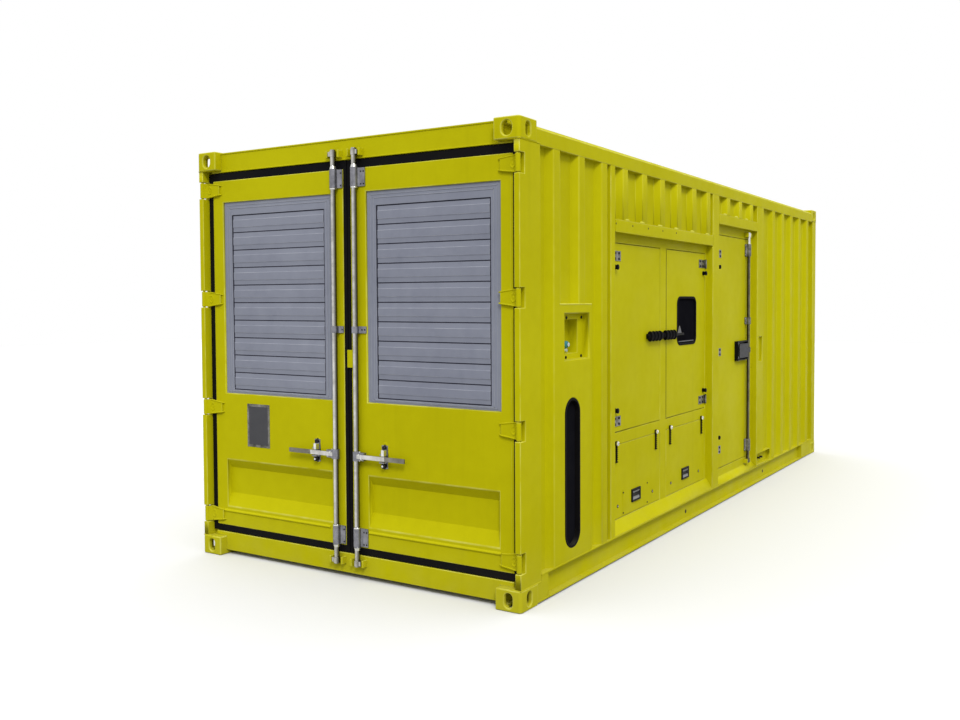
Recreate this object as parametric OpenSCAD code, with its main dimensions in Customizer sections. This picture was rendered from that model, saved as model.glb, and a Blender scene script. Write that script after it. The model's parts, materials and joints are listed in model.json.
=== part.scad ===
// Containerised generator set: the 20 ft steel enclosure with its louvred end doors,
// a recessed pair of service doors, lift-off hatches and a personnel door on one side.
// Origin: centre of the footprint on the ground. The louvred end faces -Y, the service side +X.

/* [Overall] */
// Overall length over the corner castings
length = 6058; // [6000:1:6300]
// Overall width over the corner castings
width = 2438; // [2400:1:2600]
// Overall height over the corner castings
height = 2591; // [2560:1:2800]

/* [Corner castings] */
// Casting size along the container
casting_l = 178; // [170:1:190]
// Casting size across the container
casting_w = 162; // [155:1:175]
// Casting height
casting_h = 118; // [110:1:130]
// Wall thickness of a casting
casting_wall = 28; // [20:1:32]
// Radius of a casting's outer upright edge
casting_r = 20; // [8:1:26]
// Width of the round-ended hole in the side face and the lower end face
casting_hole_w = 51; // [40:1:60]
// Height of the holes in the end and side faces
casting_hole_h = 79; // [66:1:86]
// Width of the hole in the end face of an upper casting
casting_top_hole_w = 64; // [52:1:74]
// Length of the twistlock aperture in the top or bottom face
aperture_l = 124; // [110:1:132]
// Width of the twistlock aperture
aperture_w = 63; // [55:1:70]

/* [Frame] */
// Set-back of the posts' side face from the castings
side_inset = 4; // [3:1:12]
// Set-back of the posts' end face from the castings
end_inset = 6; // [3:1:12]
// Set-back of the bottom side rail's edge from the castings
rail_inset = 2; // [1:1:6]
// Width of a door post's flange seen from the end
flange_w = 36; // [34:1:40]
// Depth of a door post's flange from its end face
flange_d = 68; // [64:1:80]
// Width across of a door post's body
door_post_w = 72; // [66:1:76]
// Length of a door post's side face
door_post_l = 211; // [200:1:240]
// Length of a blind-end post's side face
blind_post_l = 118; // [100:1:160]
// Width across of a blind-end post
blind_post_w = 110; // [90:1:150]
// Height of the end headers
header_h = 123; // [119:1:140]
// Set-back of the header's top from the castings' top
header_drop = 6; // [3:1:12]
// Set-back of the end rails' face from the castings
end_rail_inset = 51; // [50:1:54]
// Underside of the end sills above the ground
sill_z = 28; // [14:1:40]
// Top of the end sills above the ground
sill_top = 145; // [130:1:150]
// Underside of the bottom side rails above the ground
rail_z = 10; // [6:1:20]
// Top of the bottom side rails above the ground
rail_top = 157; // [152:1:180]
// Flange width of the bottom side rails
rail_w = 48; // [40:1:60]
// Flange thickness of the bottom side rails
rail_flange = 8; // [5:1:12]
// Web thickness of the bottom side rails
rail_web = 6; // [4:1:10]
// Length of the stiffening plate at the rail's door end
front_gusset_l = 115; // [60:1:200]
// Length of the stiffening plate at the rail's blind end
rear_gusset_l = 350; // [100:1:500]
// Height of the top side rails
top_rail_h = 97; // [80:1:110]
// Width of the top side rails
top_rail_w = 60; // [50:1:80]
// Bevel on the top side rails' outer upper edge
top_rail_bevel = 14; // [6:1:20]
// Top of the top side rails below the castings' top
top_rail_drop = 29; // [26:1:34]

/* [Sheets] */
// Thickness of the wall and roof sheets
sheet_t = 3; // [2:0.5:4]
// Depth of the side walls' corrugation
wall_depth = 36; // [28:1:38]
// Width of a corrugation's outer flat
crest_w = 72; // [50:1:90]
// Length of a corrugation's slope
slope_w = 44; // [30:1:44]
// Pitch of the blind side wall's corrugations
wall_pitch = 304; // [270:1:310]
// Pitch of the blind end wall's corrugations
end_pitch = 262; // [240:1:268]
// Depth of the roof's corrugation
roof_depth = 18; // [12:1:20]
// Flat margin between the roof's corrugations and the sheet's side edges
roof_margin = 110; // [60:1:200]
// Pitch of the roof's corrugations
roof_pitch = 209; // [190:1:212]
// Width of a roof corrugation's upper flat
roof_crest_w = 90; // [60:1:100]
// Top of the floor above the ground
floor_top = 150; // [147:1:151]
// Thickness of the floor plate
floor_t = 6; // [4:1:10]
// Greatest spacing of the cross members under the floor
cross_pitch = 500; // [300:10:700]
// Width of a cross member's flange
cross_w = 45; // [30:1:70]
// Thickness of a cross member's plate
cross_t = 5; // [4:1:8]
// Underside of the cross members above the ground
cross_z = 22; // [14:1:40]
// Distance from the corner castings to the outermost cross members
cross_end = 120; // [60:1:200]

// Pitch of the corrugations in the service side's sheets
side_pitch = 300; // [285:0.5:306]
// Pitch of the corrugations in the sheet behind the door post
front_pitch = 294; // [285:0.5:295]
// Distance from the door post to the first crest's centre
front_lead = 182; // [120:1:200]
// Distance from the slender post to the first crest's centre
service_lead = 149; // [110:1:180]
// Distance from the middle post to the first crest's centre
personnel_lead = 228; // [110:1:240]
// Distance from the wide post to the first crest's centre
rear_lead = 312; // [110:1:340]

/* [Side openings] */
// Start of the service recess behind the door end
service_start = 1133; // [1100:1:1160]
// Width of the service recess
service_w = 1746; // [1730:1:1780]
// Height of the sheet above the service recess's lintel
service_head = 323; // [280:1:350]
// Width of the slender post before the service recess
slender_post_w = 62; // [50:1:70]
// Width of the post between the recesses
middle_post_w = 140; // [120:1:180]
// Width of the personnel recess
personnel_w = 993; // [985:1:1020]
// Height of the sheet above the personnel recess's lintel
personnel_head = 141; // [125:1:160]
// Width of the post behind the personnel recess
wide_post_w = 186; // [170:1:210]
// Depth of the side posts
side_post_d = 60; // [54:1:80]
// Height of a lintel's face
lintel_h = 77; // [60:1:90]
// Wall thickness of a lintel
lintel_t = 4; // [3:1:6]
// Depth of the recesses behind the side posts' face
recess_d = 50; // [48:1:54]
// Thickness of the recess frames and of the doors in them
frame_t = 40; // [30:1:44]

/* [Service doors] */
// Width of the side jambs of the service frame
service_jamb = 42; // [36:1:48]
// Width of the mullion between the service doors
mullion_w = 105; // [90:1:130]
// Underside of the service doors
service_door_z = 801; // [790:1:820]
// Height of the frame's strip above the service doors
service_strip = 61; // [50:1:90]
// Running gap round the doors in the side
door_gap = 5; // [5:0.5:6]
// Underside of the hatch panels
hatch_z = 240; // [230:1:260]
// Height of the hatch panels
hatch_h = 475; // [440:1:490]
// Gap round the hatch panels
hatch_gap = 3; // [2:0.5:5]
// Width of the vision window
vision_w = 384; // [340:1:400]
// Height of the vision window
vision_h = 360; // [300:1:380]
// Corner radius of the vision window
vision_r = 60; // [40:1:80]
// Height of the vision window's centre
vision_z = 1488; // [1470:1:1560]
// Distance from the right door's hinge edge to the window's centre
vision_from_hinge = 380; // [340:1:400]
// Height of the service door handles
handle_z = 1394; // [1380:1:1400]
// Length of the front service door's handle
left_handle_l = 226; // [180:1:260]
// Height of the service door handles' ribs
handle_h = 66; // [50:1:80]
// Width of a rib on those handles
handle_rib_w = 15; // [8:1:20]
// Pitch of the ribs
handle_rib_pitch = 35; // [24:1:50]
// Width of the plate screwed to the front hatch
hatch_plate_w = 425; // [380:1:440]
// Height of that plate
hatch_plate_h = 172; // [150:1:200]
// Distance from the front hatch's edge to that plate
hatch_plate_from_edge = 165; // [140:1:180]
// Length of a hatch's draw latch
latch_l = 124; // [100:1:150]
// Distance from a hatch's front edge to its flush pull's centre
pull_from_edge = 358; // [250:1:450]
// Width of a flush pull
pull_w = 134; // [100:1:170]
// Height of a flush pull
pull_h = 84; // [60:1:140]
// Height of a flush pull's centre above the hatch's lower edge
pull_z = 112; // [90:1:140]
// Distance from a hatch's front edge to its front latch
latch_front = 62; // [50:1:90]
// Distance from a hatch's rear edge to its rear latch
latch_rear = 80; // [50:1:100]
// Distance from a service door's lower edge to its lower hinge
service_hinge_low = 67; // [60:1:100]
// Distance from a service door's upper edge to its upper hinge
service_hinge_high = 79; // [60:1:100]
// Distance from a service hinge to the buffer beside it
buffer_from_hinge = 72; // [60:1:90]

/* [Personnel door] */
// Width of the hinge-side jamb
personnel_jamb = 49; // [44:1:60]
// Width of the personnel door
personnel_door_w = 861; // [840:1:864]
// Underside of the personnel door
personnel_door_z = 270; // [262:1:280]
// Height of the frame's strip above the personnel door
personnel_strip = 77; // [72:1:110]
// Rise of the sloping plate below the personnel door
personnel_sill_h = 45; // [30:1:50]
// Distance from the door's ends to its outer hinges
personnel_hinge_gap = 150; // [120:1:200]
// Distance from the door's closing edge to its locking bar
personnel_bar_edge = 90; // [80:1:120]
// Height of the personnel door's handle
personnel_lever_z = 1208; // [1150:1:1300]
// Underside of the middle guide of the personnel door's locking bar
personnel_guide_z = 1430; // [1380:1:1480]
// Height of the middle guide
personnel_guide_h = 60; // [40:1:80]
// Height of the outer guides
personnel_bearing_h = 105; // [80:1:130]
// Reach of the personnel door's handle from its bar
personnel_lever_l = 290; // [200:1:320]
// Height of the handle's broad grip
personnel_grip_h = 120; // [90:1:140]
// Length of the lock case behind the handle
lock_case_l = 270; // [180:1:300]
// Height of the lock case
lock_case_h = 165; // [130:1:190]
// Distance from the door's ends to its buffers
personnel_buffer_gap = 258; // [240:1:300]
// Radius of the personnel door's locking bar
personnel_bar_r = 13.5; // [10:0.5:15]

/* [End doors] */
// Half of the gap between the two end doors' steel edges
leaf_half_gap = 28; // [26:1:32]
// Gap between a door's hinge edge and the castings' side face
leaf_side = 83; // [83:1:90]
// Gap between a door's lower edge and the sill
leaf_bottom = 45; // [38:1:50]
// Gap between a door's upper edge and the header
leaf_top = 52; // [44:1:58]
// Set-back of the doors' face from the castings
leaf_inset = 51; // [49:1:54]
// Thickness of the end doors
leaf_t = 50; // [40:1:54]
// Clearance round the door seals
seal_gap = 5; // [5:0.5:7]
// Half of the clearance between the two doors' seals
seal_half_gap = 2.5; // [2.5:0.5:4]
// Thickness of the door seals
seal_t = 12; // [8:1:14]
// Underside of the louvres
louvre_z = 1049; // [1030:1:1060]
// Distance from the top of a louvre to the door's upper edge
louvre_top_gap = 140; // [120:1:170]
// Distance from the doors' meeting line to the nearer louvre edge
louvre_x = 133; // [132:1:150]
// Distance from a louvre's far edge to the door's hinge edge
louvre_outer_gap = 81; // [70:1:110]
// Sideways shift of both louvres
louvre_shift = 12; // [0:1:12]
// Depth that a louvre is set back in the door
louvre_inset = 10; // [4:1:14]
// Width of a louvre frame's side members
louvre_side = 66; // [50:1:80]
// Width of a louvre frame's upper member
louvre_head = 82; // [60:1:90]
// Width of a louvre frame's lower member
louvre_foot = 24; // [16:1:50]
// Number of slats in a louvre
slats_n = 10; // [8:1:12]
// Thickness of a slat
slat_t = 12; // [8:1:16]
// Gap between slats
slat_gap = 5; // [3:0.5:10]
// Gap between a slat's end and the frame
slat_end_gap = 9; // [5:1:14]
// Lower edge of the doors' pressed recess
press_z = 315; // [300:1:340]
// Height of the recess's long lower slope
press_low = 85; // [60:1:100]
// Height of the recess's flat
press_flat = 165; // [150:1:200]
// Height of the recess's short upper slope
press_high = 57; // [30:1:60]
// Depth of the pressed recess
press_d = 34; // [24:1:36]

/* [End door hinges] */
// Distance of the hinge pins from the castings' side face
pin_side = 22; // [20:1:23]
// Distance of the hinge pins from the castings' end face
pin_end = 19; // [19:1:21]
// Radius of a hinge pin
pin_r = 8; // [6:0.5:9]
// Radial running clearance on every hinge pin
pin_clear = 0.05; // [0.03:0.01:0.1]
// Radius of a hinge blade's knuckle
knuckle_r = 14; // [12:0.5:15]
// Height of the lowest hinge's centre
hinge_z = 258; // [240:1:270]
// Distance from the highest hinge's centre to the upper castings
hinge_top_gap = 122; // [110:1:140]
// Number of hinges on each end door
hinges_n = 4; // [3:1:4]
// Height of a hinge blade at its knuckle
blade_h = 95; // [80:1:105]
// Height of a hinge blade at its far end
blade_tip_h = 66; // [50:1:75]
// Reach of a hinge blade from the pin
blade_reach = 126; // [110:1:128]
// Thickness of a hinge blade
blade_plate = 12; // [10:1:12]
// Clearance above and below a knuckle in its notch
notch_gap = 6; // [5:1:10]

/* [Locking bars] */
// Distance of an end door's locking bar from the meeting line
bar_x = 80; // [76:1:84]
// Radius of an end door's locking bar
bar_r = 16; // [14:0.5:17]
// Distance from an end door's face to the bar's axis
bar_off = 25; // [25:1:27]
// Height of the handles on the end doors
lever_z = 735; // [720:1:760]
// Reach of the handles from the bar
lever_l = 365; // [320:1:380]
// Height of a handle's flat bar
lever_h = 26; // [20:1:30]
// Thickness of a handle's flat bar
lever_t = 8; // [6:1:10]
// Radius of a cam at the end of a locking bar
cam_r = 22; // [20:0.5:24]
// Height of a cam
cam_h = 34; // [28:1:40]
// Reach of a cam's nose from the bar's axis
cam_nose = 34; // [32:1:42]
// Height of the bearings at a locking bar's ends
bearing_h = 108; // [90:1:128]
// Width of the right door's bearing plates beside the bar
bearing_plate_w = 64; // [50:1:104]
// Length of the clamp that holds a handle on its bar
hub_l = 64; // [40:1:80]
// Height of that clamp
hub_h = 46; // [36:1:60]
// Underside of the locking bars' middle guides
guide_z = 1451; // [1400:1:1500]
// Height of a middle guide
guide_h = 40; // [30:1:60]
// Distance from the left bar to its handle catch
left_catch = 165; // [130:1:200]
// Distance from the right bar to its handle catch
right_catch = 196; // [150:1:240]
// Underside of the tab that closes over the doors' meeting line
tab_z = 1249; // [1200:1:1300]
// Height of that tab
tab_h = 103; // [80:1:130]
// Distance of the tab's free edge from the meeting line
tab_from_line = 4; // [3:1:12]

/* [Front panel fittings] */
// Distance from the door post to the flat plate
plate_from_post = 212; // [180:1:225]
// Width of the flat plate
plate_w = 385; // [370:1:400]
// Top of the flat plate
plate_top = 1617; // [1600:1:1700]
// Width of the slot window
slot_w = 179; // [150:1:190]
// Height of the slot window
slot_h = 861; // [700:1:900]
// Height of the slot window's centre
slot_z = 652; // [640:1:700]
// Distance from the plate's front edge to the slot window's centre
slot_from_plate = 148; // [140:1:170]
// Width of the control niche
niche_w = 300; // [260:1:310]
// Height of the control niche
niche_h = 266; // [240:1:280]
// Underside of the control niche
niche_z = 1300; // [1280:1:1320]
// Distance from the plate's front edge to the niche
niche_from_plate = 55; // [40:1:60]
// Depth of the niche's deep inner part behind its flange
niche_deep = 60; // [40:1:80]
// Width of the niche's inner part
niche_inner_w = 150; // [120:1:180]
// Height of the niche's inner part
niche_inner_h = 195; // [150:1:210]
// Distance from the niche's front edge to its controls
niche_knob_y = 178; // [100:1:190]
// Height of the upper control above the niche's lower edge
niche_knob_z = 82; // [70:1:150]

/* [Rear post pocket] */
// Width of the small pocket in the post behind the personnel recess
pocket_w = 100; // [60:1:120]
// Height of the pocket
pocket_h = 221; // [150:1:260]
// Underside of the pocket
pocket_z = 1092; // [1050:1:1150]
// Distance from the personnel recess to the pocket
pocket_from_recess = 57; // [40:1:65]

/* [Earth terminals] */
// Width of the earth terminal box
earth_w = 388; // [340:1:400]
// Height of the earth terminal box
earth_h = 111; // [90:1:120]
// Distance from the personnel recess to the earth terminal box
earth_from_recess = 17; // [10:1:24]

/* [Hidden] */
$fn = 48;

paint = [0.72, 0.72, 0.1];
zinc = [0.68, 0.69, 0.7];
black = [0.06, 0.06, 0.065];
louvre_grey = [0.6, 0.62, 0.67];

// Small overshoot of a cut past the face it opens
eps = 1;

// Frame planes
half_w = width / 2;
half_l = length / 2;
side_face = half_w - side_inset;
rail_face = half_w - rail_inset;
door_face = -(half_l - end_inset);
casting_y = half_l - casting_l;
casting_x = half_w - casting_w;
casting_top_z = height - casting_h;
end_rail_face = half_l - end_rail_inset;
header_top = height - header_drop;
header_z = header_top - header_h;
top_rail_top = height - top_rail_drop;
top_rail_z = top_rail_top - top_rail_h;
service_lintel_z = top_rail_z - service_head - lintel_h;
personnel_lintel_z = top_rail_z - personnel_head - lintel_h;
flange_x = side_face - flange_w;
post_x = side_face - door_post_w;
door_post_back = door_face + door_post_l;
blind_post_front = half_l - end_inset - blind_post_l;
rail_web_x = rail_face - rail_w;
sheet_in = side_face - wall_depth - sheet_t;

// Side openings along Y
service_y0 = -half_l + service_start;
service_y1 = service_y0 + service_w;
personnel_y0 = service_y1 + middle_post_w;
personnel_y1 = personnel_y0 + personnel_w;
wide_post_y1 = personnel_y1 + wide_post_w;
recess_x = side_face - recess_d;
frame_back = recess_x - frame_t;

// Service doors and hatches
service_door_w = (service_w - 2 * service_jamb - mullion_w - 4 * door_gap) / 2;
left_service_y = service_y0 + service_jamb + door_gap;
right_service_y = service_y1 - service_jamb - door_gap - service_door_w;
service_door_top = service_lintel_z - service_strip - door_gap;
service_door_h = service_door_top - service_door_z;
mullion_y0 = left_service_y + service_door_w + door_gap;

// Personnel door
personnel_door_y = personnel_y0 + personnel_jamb + door_gap;
personnel_door_top = personnel_lintel_z - personnel_strip - door_gap;
personnel_door_h = personnel_door_top - personnel_door_z;
personnel_bar_y = personnel_door_y + personnel_door_w - personnel_bar_edge;
personnel_bar_x = recess_x + 25;

// Side door hinges: pins in front of the running gap
side_pin_r = 4;
side_knuckle_r = 7;
side_pin_x = recess_x + 8;
side_hinge_h = 64;
side_flap_t = 3;
jamb_flap = 34;
door_flap = 134;
service_hinge_z = [service_door_z + service_hinge_low, service_door_top - service_hinge_high];
personnel_hinge_z = [personnel_door_z + personnel_hinge_gap,
                     personnel_door_z + personnel_door_h / 2,
                     personnel_door_top - personnel_hinge_gap];

// End doors
leaf_x1 = half_w - leaf_side;
leaf_z0 = sill_top + leaf_bottom;
leaf_z1 = header_z - leaf_top;
leaf_y = -(half_l - leaf_inset);
leaf_back = leaf_y + leaf_t;
pin_x = half_w - pin_side;
pin_y = -(half_l - pin_end);
hinge_pitch = (casting_top_z - hinge_top_gap - hinge_z) / (hinges_n - 1);
hinge_heights = [for (i = [0 : hinges_n - 1]) hinge_z + i * hinge_pitch];
louvre_w = leaf_x1 - louvre_outer_gap - louvre_x;
louvre_h = leaf_z1 - louvre_top_gap - louvre_z;
bar_y = leaf_y - bar_off;
lever_y = bar_y - 9;

// A box between two opposite corners
module block(a, b) {
    translate([for (i = [0 : 2]) min(a[i], b[i])])
        cube([for (i = [0 : 2]) abs(b[i] - a[i])]);
}

// A prism along X from an outline in Y and Z
module prism_x(x0, x1, outline) {
    translate([x0, 0, 0]) rotate([90, 0, 90]) linear_extrude(x1 - x0) polygon(outline);
}

// A prism along Y from an outline in X and Z
module prism_y(y0, y1, outline) {
    translate([0, y1, 0]) rotate([90, 0, 0]) linear_extrude(y1 - y0) polygon(outline);
}

// A round bar along X, Y or Z from a start point
module bar_along_x(p, l, r) {
    translate(p) rotate([0, 90, 0]) cylinder(h = l, r = r);
}

module bar_along_y(p, l, r) {
    translate(p) rotate([-90, 0, 0]) cylinder(h = l, r = r);
}

module bar_along_z(p, l, r) {
    translate(p) cylinder(h = l, r = r);
}

// A rectangle with round corners, centred
module round_rect(w, h, r) {
    square([w - 2 * r, h], center = true);
    square([w, h - 2 * r], center = true);
    for (x = [-1, 1], y = [-1, 1])
        translate([x * (w / 2 - r), y * (h / 2 - r)]) circle(r);
}

// A round-ended slot, centred, its length up
module upright_slot(w, h) {
    square([w, h - w], center = true);
    for (y = [-1, 1]) translate([0, y * (h - w) / 2]) circle(d = w);
}

// Places a flat shape, drawn with Y along its width and Z up, as a plate that faces +X
module plate_x(x0, x1, y, z) {
    translate([x0, y, z]) rotate([90, 0, 90]) linear_extrude(x1 - x0) children();
}

// Number of corrugations that fit in a length
function ribs_in(length, pitch, crest, slope) =
    floor((length - crest - 2 * slope - 8) / pitch) + 1;

// Outline of a corrugated sheet: [along, out], crests at out = 0, from t0 to t1
function ribs_line(t0, t1, first, pitch, n, crest, slope, depth) = concat(
    [[t0, -depth]],
    [for (i = [0 : n - 1], p = [[-1, 1], [-1, 0], [1, 0], [1, 1]])
        [first + i * pitch + p[0] * (crest / 2 + p[1] * slope), -p[1] * depth]],
    [[t1, -depth]]);

function sheet_outline(line, t) = concat(line, [for (i = [len(line) - 1 : -1 : 0]) line[i] - [0, t]]);

// A corrugated side sheet whose crests stand at the posts' side face, the first at its lead
module side_sheet(y0, y1, z0, z1, lead, pitch) {
    n = floor((y1 - y0 - lead - crest_w / 2 - slope_w) / pitch) + 1;
    line = ribs_line(y0, y1, y0 + lead, pitch, n, crest_w, slope_w, wall_depth);
    translate([0, 0, z0]) linear_extrude(z1 - z0)
        polygon([for (p = sheet_outline(line, sheet_t)) [side_face + p[1], p[0]]]);
}

// ---------- main frame ----------

// A corner casting in the +X, +Y corner; the twistlock aperture faces up
module casting(end_hole_w) {
    depth = casting_wall + eps;
    mid_x = half_w - casting_w / 2;
    mid_y = half_l - casting_l / 2;
    difference() {
        translate([casting_x, casting_y, 0]) linear_extrude(casting_h) {
            square([casting_w - casting_r, casting_l]);
            square([casting_w, casting_l - casting_r]);
            translate([casting_w - casting_r, casting_l - casting_r]) circle(casting_r);
        }
        block([casting_x + casting_wall, casting_y + casting_wall, casting_wall],
              [half_w - casting_wall, half_l - casting_wall, casting_h - casting_wall]);
        translate([mid_x, mid_y, casting_h - casting_wall - eps])
            linear_extrude(casting_wall + 2 * eps) upright_slot(aperture_w, aperture_l);
        plate_x(half_w - depth, half_w + eps, mid_y, casting_h / 2)
            upright_slot(casting_hole_w, casting_hole_h);
        translate([mid_x, half_l + eps, casting_h / 2]) rotate([90, 0, 0])
            linear_extrude(depth + eps) upright_slot(end_hole_w, casting_hole_h);
    }
}

module corner_castings() color(paint) {
    for (x = [0, 1], y = [0, 1]) mirror([x, 0, 0]) mirror([0, y, 0]) {
        translate([0, 0, casting_top_z]) casting(casting_top_hole_w);
        translate([0, 0, casting_h]) mirror([0, 0, 1]) casting(casting_hole_w);
    }
}

// The right door post with its notches and hinge pins
module door_post() {
    difference() {
        translate([0, 0, casting_h]) linear_extrude(casting_top_z - casting_h) polygon([
            [flange_x, door_face], [side_face, door_face], [side_face, door_post_back],
            [post_x, door_post_back], [post_x, door_face + flange_d],
            [flange_x, door_face + flange_d]]);
        for (z = hinge_heights)
            block([flange_x - eps, door_face - eps, z - blade_h / 2 - notch_gap],
                  [side_face + eps, leaf_y + 6, z + blade_h / 2 + notch_gap]);
    }
    for (z = hinge_heights)
        bar_along_z([pin_x, pin_y, z - blade_h / 2 - notch_gap - eps],
                    blade_h + 2 * (notch_gap + eps), pin_r);
}

module corner_posts() color(paint) {
    for (x = [0, 1]) mirror([x, 0, 0]) {
        door_post();
        block([side_face - blind_post_w, blind_post_front, casting_h],
              [side_face, half_l - end_inset, casting_top_z]);
    }
}

// One end's header and sill; `face` is their side that looks out, `post` the width between posts
module end_rail_pair(face, post) {
    block([-casting_x, face, header_z], [casting_x, casting_y, header_top]);
    block([-post, face, header_z], [post, casting_y, casting_top_z]);
    block([-casting_x, face, sill_z], [casting_x, casting_y, sill_top]);
    block([-post, face, casting_h], [post, casting_y, sill_top]);
}

module end_rails() color(paint) {
    mirror([0, 1, 0]) end_rail_pair(end_rail_face, post_x);
    end_rail_pair(half_l - 2 * end_inset, side_face - blind_post_w);
}

// Channel rail, open outwards, with a stiffening plate at each end
module bottom_side_rail() {
    difference() {
        union() {
            prism_y(-casting_y, casting_y, [
                [rail_web_x, rail_z], [rail_face, rail_z], [rail_face, rail_z + rail_flange],
                [rail_web_x + rail_web, rail_z + rail_flange],
                [rail_web_x + rail_web, rail_top - rail_flange],
                [rail_face, rail_top - rail_flange], [rail_face, rail_top],
                [rail_web_x, rail_top]]);
            block([rail_web_x, -casting_y, rail_z],
                  [side_face, -casting_y + front_gusset_l, rail_top]);
            block([rail_web_x, casting_y - rear_gusset_l, rail_z],
                  [side_face, casting_y, rail_top]);
        }
        block([rail_web_x - eps, door_post_back, casting_h],
              [rail_face + eps, -casting_y - eps, rail_top + eps]);
    }
    block([rail_web_x, casting_y, casting_h], [side_face, blind_post_front, rail_top]);
}

module bottom_side_rails() color(paint) {
    for (x = [0, 1]) mirror([x, 0, 0]) bottom_side_rail();
}

module top_side_rail() {
    inner = side_face - top_rail_w;
    difference() {
        prism_y(-casting_y, casting_y, [
            [inner, top_rail_z], [side_face, top_rail_z],
            [side_face, top_rail_top - top_rail_bevel],
            [side_face - top_rail_bevel, top_rail_top], [inner, top_rail_top]]);
        block([inner - eps, door_post_back, top_rail_z - eps],
              [side_face + eps, -casting_y - eps, casting_top_z]);
    }
    block([inner, casting_y, top_rail_z], [side_face, blind_post_front, casting_top_z]);
}

module top_side_rails() color(paint) {
    for (x = [0, 1]) mirror([x, 0, 0]) top_side_rail();
}

module floor_plate() color([0.35, 0.35, 0.36]) {
    z = floor_top - floor_t;
    block([-rail_web_x, door_post_back, z], [rail_web_x, casting_y, floor_top]);
    block([-post_x, -casting_y, z], [post_x, door_post_back + eps, floor_top]);
}

module cross_members() color(paint) {
    first = -casting_y + cross_end;
    span = 2 * (casting_y - cross_end) - cross_w;
    bays = ceil(span / cross_pitch);
    pitch = span / bays;
    top = floor_top - floor_t;
    for (i = [0 : bays]) {
        y = first + i * pitch;
        prism_x(-rail_web_x, rail_web_x, [
            [y, cross_z], [y + cross_w, cross_z], [y + cross_w, cross_z + cross_t],
            [y + cross_t, cross_z + cross_t], [y + cross_t, top - cross_t],
            [y + cross_w, top - cross_t], [y + cross_w, top], [y, top]]);
    }
}

// The roof's pressed ribs, closed at their ends; drop lowers them for the inner side
module roof_ribs(drop) {
    edge = side_face - top_rail_bevel - 6 - roof_margin;
    slope = roof_depth * 0.75;
    z0 = top_rail_top + sheet_t - drop;
    z1 = z0 + roof_depth;
    ribs = ribs_in(2 * casting_y, roof_pitch, roof_crest_w, slope);
    intersection() {
        for (i = [0 : ribs - 1]) {
            y = (i - (ribs - 1) / 2) * roof_pitch;
            prism_x(-edge, edge, [
                [y - roof_crest_w / 2 - slope - 1, z0 - 4 / 3], [y - roof_crest_w / 2, z1],
                [y + roof_crest_w / 2, z1], [y + roof_crest_w / 2 + slope + 1, z0 - 4 / 3]]);
        }
        prism_y(-casting_y, casting_y, [[-edge - 1, z0 - 4 / 3], [-edge + slope, z1],
                                        [edge - slope, z1], [edge + 1, z0 - 4 / 3]]);
    }
}

module roof() color(paint) {
    edge = side_face - top_rail_bevel - 6;
    difference() {
        union() {
            block([-edge, -casting_y, top_rail_top], [edge, casting_y, top_rail_top + sheet_t]);
            roof_ribs(0);
        }
        roof_ribs(sheet_t);
    }
}

module blind_side_wall() color(paint) {
    span = blind_post_front - door_post_back;
    ribs = ribs_in(span, wall_pitch, crest_w, slope_w);
    mirror([1, 0, 0])
        side_sheet(door_post_back, blind_post_front, rail_top, top_rail_z,
                   (span - (ribs - 1) * wall_pitch) / 2, wall_pitch);
}

module blind_end_wall() color(paint) {
    edge = side_face - blind_post_w;
    ribs = ribs_in(2 * edge, end_pitch, crest_w, slope_w);
    line = ribs_line(-edge, edge, -(ribs - 1) * end_pitch / 2, end_pitch, ribs,
                     crest_w, slope_w, wall_depth);
    translate([0, 0, sill_top]) linear_extrude(header_z - sill_top)
        polygon([for (p = sheet_outline(line, sheet_t)) [p[0], half_l - 3 * end_inset + p[1]]]);
}

// ---------- service side ----------

// The earth terminal box's outline, cut from the post and the sheet behind it
earth_y0 = personnel_y1 + earth_from_recess;
earth_z1 = rail_top + earth_h;
earth_back = sheet_in + sheet_t;

module earth_cut() {
    block([earth_back - sheet_t - eps, earth_y0, rail_top - eps],
          [side_face + eps, earth_y0 + earth_w, earth_z1]);
}

module side_posts() color(paint) {
    inner = side_face - side_post_d;
    block([inner, service_y0 - slender_post_w, rail_top], [side_face, service_y0, top_rail_z]);
    block([inner, service_y1, rail_top], [side_face, personnel_y0, top_rail_z]);
    difference() {
        block([inner, personnel_y1, rail_top], [side_face, wide_post_y1, top_rail_z]);
        block([side_face - 20, personnel_y1 + pocket_from_recess, pocket_z],
              [side_face + eps, personnel_y1 + pocket_from_recess + pocket_w,
               pocket_z + pocket_h]);
        earth_cut();
    }
}

// Hollow rectangular lintel, its face just proud of the posts
module lintel(y0, y1, z) {
    inner = recess_x - 2;
    difference() {
        block([inner, y0, z], [rail_face, y1, z + lintel_h]);
        block([inner + lintel_t, y0 - eps, z + lintel_t],
              [rail_face - lintel_t, y1 + eps, z + lintel_h - lintel_t]);
    }
}

module side_lintels() color(paint) {
    lintel(service_y0, service_y1, service_lintel_z);
    lintel(personnel_y0, personnel_y1, personnel_lintel_z);
}

// Flat plate of the front panel, with the control niche and the slot window in it
plate_y0 = door_post_back + plate_from_post;
slot_y = plate_y0 + slot_from_plate;
niche_y0 = plate_y0 + niche_from_plate;
niche_step = wall_depth + 4;

module front_side_panel() color(paint) {
    difference() {
        union() {
            side_sheet(door_post_back, service_y0 - slender_post_w, rail_top, top_rail_z,
                       front_lead, front_pitch);
            block([sheet_in, plate_y0, rail_top], [side_face, plate_y0 + plate_w, plate_top]);
        }
        plate_x(sheet_in - eps, side_face + eps, slot_y, slot_z) upright_slot(slot_w, slot_h);
        block([sheet_in - eps, niche_y0, niche_z],
              [side_face + eps, niche_y0 + niche_w, niche_z + niche_h]);
    }
}

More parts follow.
